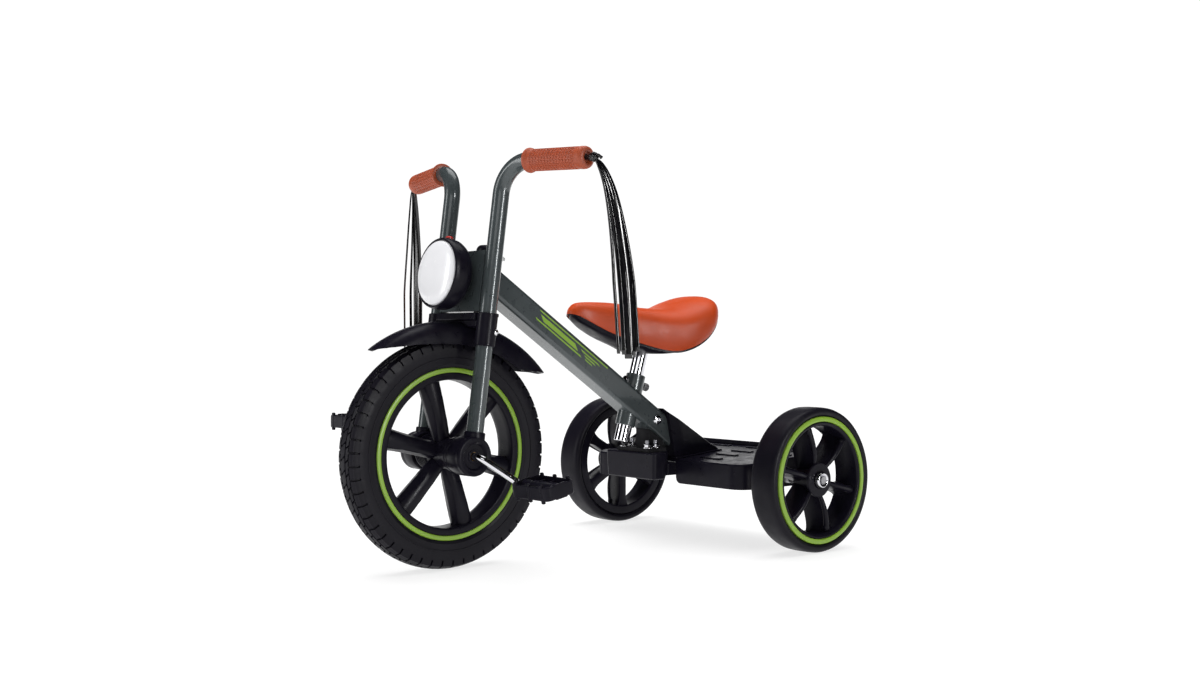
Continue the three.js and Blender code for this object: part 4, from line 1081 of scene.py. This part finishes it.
def saddle():
    """The padded cover, turned in under its rim, and the shell and welt beneath it."""
    cover, base, edges = [], [], {1: [], -1: []}
    for x, width, crown, rim in saddle_stations(0):
        side = saddle_side(width, crown, rim, rim)
        y, z = side[-1]
        turned_in = [(max(y - 1.2, 0.2), z - 0.9), (max(y - 3, 0.1), z - 0.2),
                     (max(y - 4, 0.05), z + 2)]
        cover.append(section_across(x, side + turned_in, 1))
        for sign in (1, -1):
            edges[sign].append((x, sign * (y - 0.6), z - 0.7))
    pad = piece("saddle_leather", grid(cover, caps=True), "saddle_cover", "saddle", "saddle_cover",
                sharp=70)
    for x, width, crown, rim in saddle_stations(SHELL_INSET):
        side = saddle_side(width, crown, rim, rim + 3)
        y = side[-1][0]
        fade = min(1, max(0, (x - SHELL_TAIL_X) / 42))
        deep = (1.2 + 6.4 * fade * fade * (3 - 2 * fade)) * min(1, (y + 1) / 14)
        half = [(y * 0.5, rim + 3), (y, rim + 3), (y + 0.2, rim - deep * 0.45),
                (y * 0.92 - 1, rim - deep * 0.8), (y * 0.78 - 1.6, rim - deep),
                (y * 0.4, rim - deep - 0.2)]
        base.append(section_across(x, [(max(a, 0.05), b) for a, b in half]))
    round_edge = edges[1] + edges[-1][::-1]
    welt = rod_along(round_edge + [round_edge[0]], 0.9, 10)
    piece("saddle_shell", join(grid(base, caps=True), welt), "black_plastic", "saddle",
          "saddle_base", sharp=50)


# ---- deck
OPEN_HALF_W, OPEN_CORNER, OPEN_TOP = 28, 8, 118   # the opening in the front skirt


def deck_top(x):
    return DECK_TOP + DECK_RISE * (DECK_FRONT - x) / (DECK_FRONT - DECK_REAR)


def foot_deck():
    """The moulded deck: sloping top, thin skirt open in the middle of its front, ribs beneath."""
    corners = [(DECK_FRONT, DECK_HALF_W), (DECK_REAR, DECK_HALF_W), (DECK_REAR, -DECK_HALF_W),
               (DECK_FRONT, -DECK_HALF_W)]
    jamb = [OPEN_HALF_W + OPEN_CORNER * k / 8 for k in range(9)] + [60, 100]
    ahead = [-y for y in reversed(jamb)] + [-OPEN_HALF_W + 0.1, OPEN_HALF_W - 0.1] + jamb
    outline = round_corners(corners, [28] * 4, 10) + [(DECK_FRONT, y) for y in ahead]
    points, inward = inward_normals(outline)

    def lift(x, y):
        """Rise of the skirt's lower edge at the opening for the nose block."""
        near = abs(y) - OPEN_HALF_W
        if x < DECK_FRONT - 1 or near >= OPEN_CORNER:
            return 0
        if near < 0:
            return OPEN_TOP - DECK_LOW
        return OPEN_CORNER * (1 - math.sqrt(1 - (1 - near / OPEN_CORNER) ** 2))

    def row(inset, low=None, drop=0.0):
        out = []
        for p, n in zip(points, inward):
            q = p + n * inset
            z = deck_top(q.x) - drop if low is None else DECK_LOW + low + lift(p.x, p.y)
            out.append((q.x, q.y, z))
        return out

    rows = [row(3, drop=3), row(3, 0.5), row(2.4, 0), row(0.8, 0.1), row(0.2, 0.6), row(0, 1.5),
            row(0, drop=2.6), row(0.35, drop=1.2), row(1.2, drop=0.35), row(2.6, drop=0)]
    body = grid(rows, caps=True)
    lip = [(DECK_REAR, 126), (DECK_REAR, 138.5), (DECK_REAR + 4.5, 138.5), (DECK_REAR + 5.5, 133)]
    lip = across(plate(round_corners(lip, [0.5, 1.8, 1.8, 0.5]), -134, 134, 1.5))
    front, rear, low = DECK_FRONT - 4, DECK_REAR + 4, 111.5
    ribs = Shape()
    for y in (-134, -80, 80, 134):
        ribs.add(across(plate([(front, low), (front, 119), (rear, 128.5), (rear, low)],
                              y - 1, y + 1, 0.3)))
    for x in (-430, -516):
        ribs.add(plate(rounded_outline(1, 157, 0.4), low, deck_top(x) - 2, 0.3).shifted(x, 0, 0))
    treads = Shape()
    slope = Matrix.Rotation(math.atan(DECK_RISE / (DECK_FRONT - DECK_REAR)), 4, "Y")
    for k in range(4):                  # four rows of raised bars, clear of the rim and the cover
        x = DECK_FRONT - 30 - 41 * k
        for j in range(-2, 2):
            y = 69 - 8.7 * k + 77 * j
            if abs(y) + 20 > DECK_HALF_W - 5 or (abs(y) < 36 and x > -510):
                continue
            bar = plate(round_corners([(-2, -20), (2, -20), (2, 20.5), (-7, 20.5), (-7, 17),
                                       (-2, 17)], [1.6, 1.6, 1.6, 1, 1, 0.8], 4), -1, 1.7, 0.8)
            treads.add(bar.moved(Matrix.Translation((x, y, deck_top(x))) @ slope))
    piece("foot_deck_moulding", join(body, lip, ribs, treads), "black_plastic", "frame",
          "foot_deck", sharp=35, flat=True)


def wedge_cover():
    """The cover that carries the beam's top line down to the deck, with a flange at its foot."""
    front, foot, rear, steps = -374, -388, -492, 26
    crest, tip = beam_z(front) + BEAM_RISE + 3, deck_top(rear) + 2.2

    def section(x, lean, width, low, high, edge):
        out = [(x - lean, width, low)]
        for k in range(7):
            a = math.pi / 2 * k / 6
            out.append((x, width - edge * (1 - math.cos(a)), high - edge * (1 - math.sin(a))))
        return out + [(x, -y, z) for x, y, z in reversed(out)]

    rows = []
    for k in range(steps + 1):
        t = k / steps
        x = front + (rear - front) * t
        lean = (front - foot) * (1 - t)
        width = 24.6 - 15.4 * max(0, t - 0.2) / 0.8
        floor = deck_top(x)
        high = crest + (tip - crest) * t + 1.6 * math.exp(-((x - rear - 8) / 6) ** 2)
        rows.append(section(x, lean, width, floor - 1, high, min(3, (high - floor) * 0.4)))
    ear_top = beam_z(front + 8) + BEAM_RISE + 3.2
    ear = across(plate(round_corners([
        (front - 2, ear_top - 24), (front - 2, ear_top - 6.5), (front + 9, ear_top),
        (front + 7.5, ear_top - 2.4), (front - 0.6, ear_top - 9)],
        [0.4, 1, 0.5, 0.5, 0.4], 3), -22, 22, 0.8))
    plan = round_corners([(foot + 2, 28.5), (-404, 28.5), (rear - 5, 13), (rear - 5, -13),
                          (-404, -28.5), (foot + 2, -28.5)], [2, 8, 5, 5, 8, 2])
    flange = plate(plan, -0.5, 2.2, 0.9)
    flange = Shape([(p.x, p.y, p.z + deck_top(p.x)) for p in flange.points], flange.faces)
    piece("wedge_cover_moulding", join(grid(rows, caps=True), ear, flange), "black_plastic",
          "frame", "deck_cover", sharp=35, flat=True)


def nose():
    """The block in front of the deck, tapered downwards, with a neck and tongue back to it."""
    body = plate(rounded_outline(12.9, 54, 5), 97, 135, 2.4, 4)
    body = Shape([(p.x * (1 - 0.0022 * (135 - p.z)), p.y * (1 - 0.0009 * (135 - p.z)), p.z)
                  for p in body.points], body.faces).shifted(-331.9, 0, 0)
    neck = plate(rounded_outline(14.5, 26, 3), 98.5, 134.8, 1.5).shifted(-357.5, 0, 0)
    tongue = plate(rounded_outline(9.8, 26, 2), 98.5, 116.8, 1.5).shifted(-380.5, 0, 0)
    piece("nose_block_moulding", join(body, neck, tongue), "black_plastic", "frame", "nose_block",
          flat=True)


def steering_cap():
    cap = [(0, 266.4), (15.4, 266.4), (15.8, 267.4), (15.8, 273.6), (14.8, 276.4), (12.6, 278.8),
           (9, 279.8), (5, 280), (0, 280)]
    shape = along_z(lathe(rounded(cap, 0.8), 56)).shifted(STEER_X, 0, 0)
    piece("steering_cap_dome", shape.moved(AT_FORK), "black_plastic", "steering", "steering_cap")


# ---- carried-over nodes
CARRIED = {
    "frame_paint": ["head_plate", "head_tube"],
    "pad_rubber": ["beam_pad"],
    "chrome": ["steering_nut"],
    "steel": ["steering_bolt", "rear_bracket", "rear_axle", "rear_axle_tube"],
    "nylon": ["head_bush_lower", "head_bush_upper", "rear_hub_bush_left", "rear_hub_bush_right"],
    "bronze": ["axle_bush_left", "axle_bush_right"],
}
SOFTENED = {"head_plate": 1.2, "beam_pad": 1.2, "steering_nut": 0.5}


def carry_over():
    """The CAD nodes that are shown as built get a look, and three of them soft edges."""
    for slot, names in CARRIED.items():
        for name in names:
            thing = frame["nodes"][name]
            thing.data.materials.clear()
            thing.data.materials.append(LOOKS[slot])
            if name in SOFTENED:
                soften(thing, SOFTENED[name])


place_camera()
lights()
surroundings()
front_wheel()
rear_wheels()
crank()
handlebar()
fork_legs()
fork_bridge()
headlamp()
mudguard()
streamers()
main_beam()
decal()
seat_post()
clamp()
bolts()
saddle()
foot_deck()
wedge_cover()
nose()
steering_cap()
carry_over()
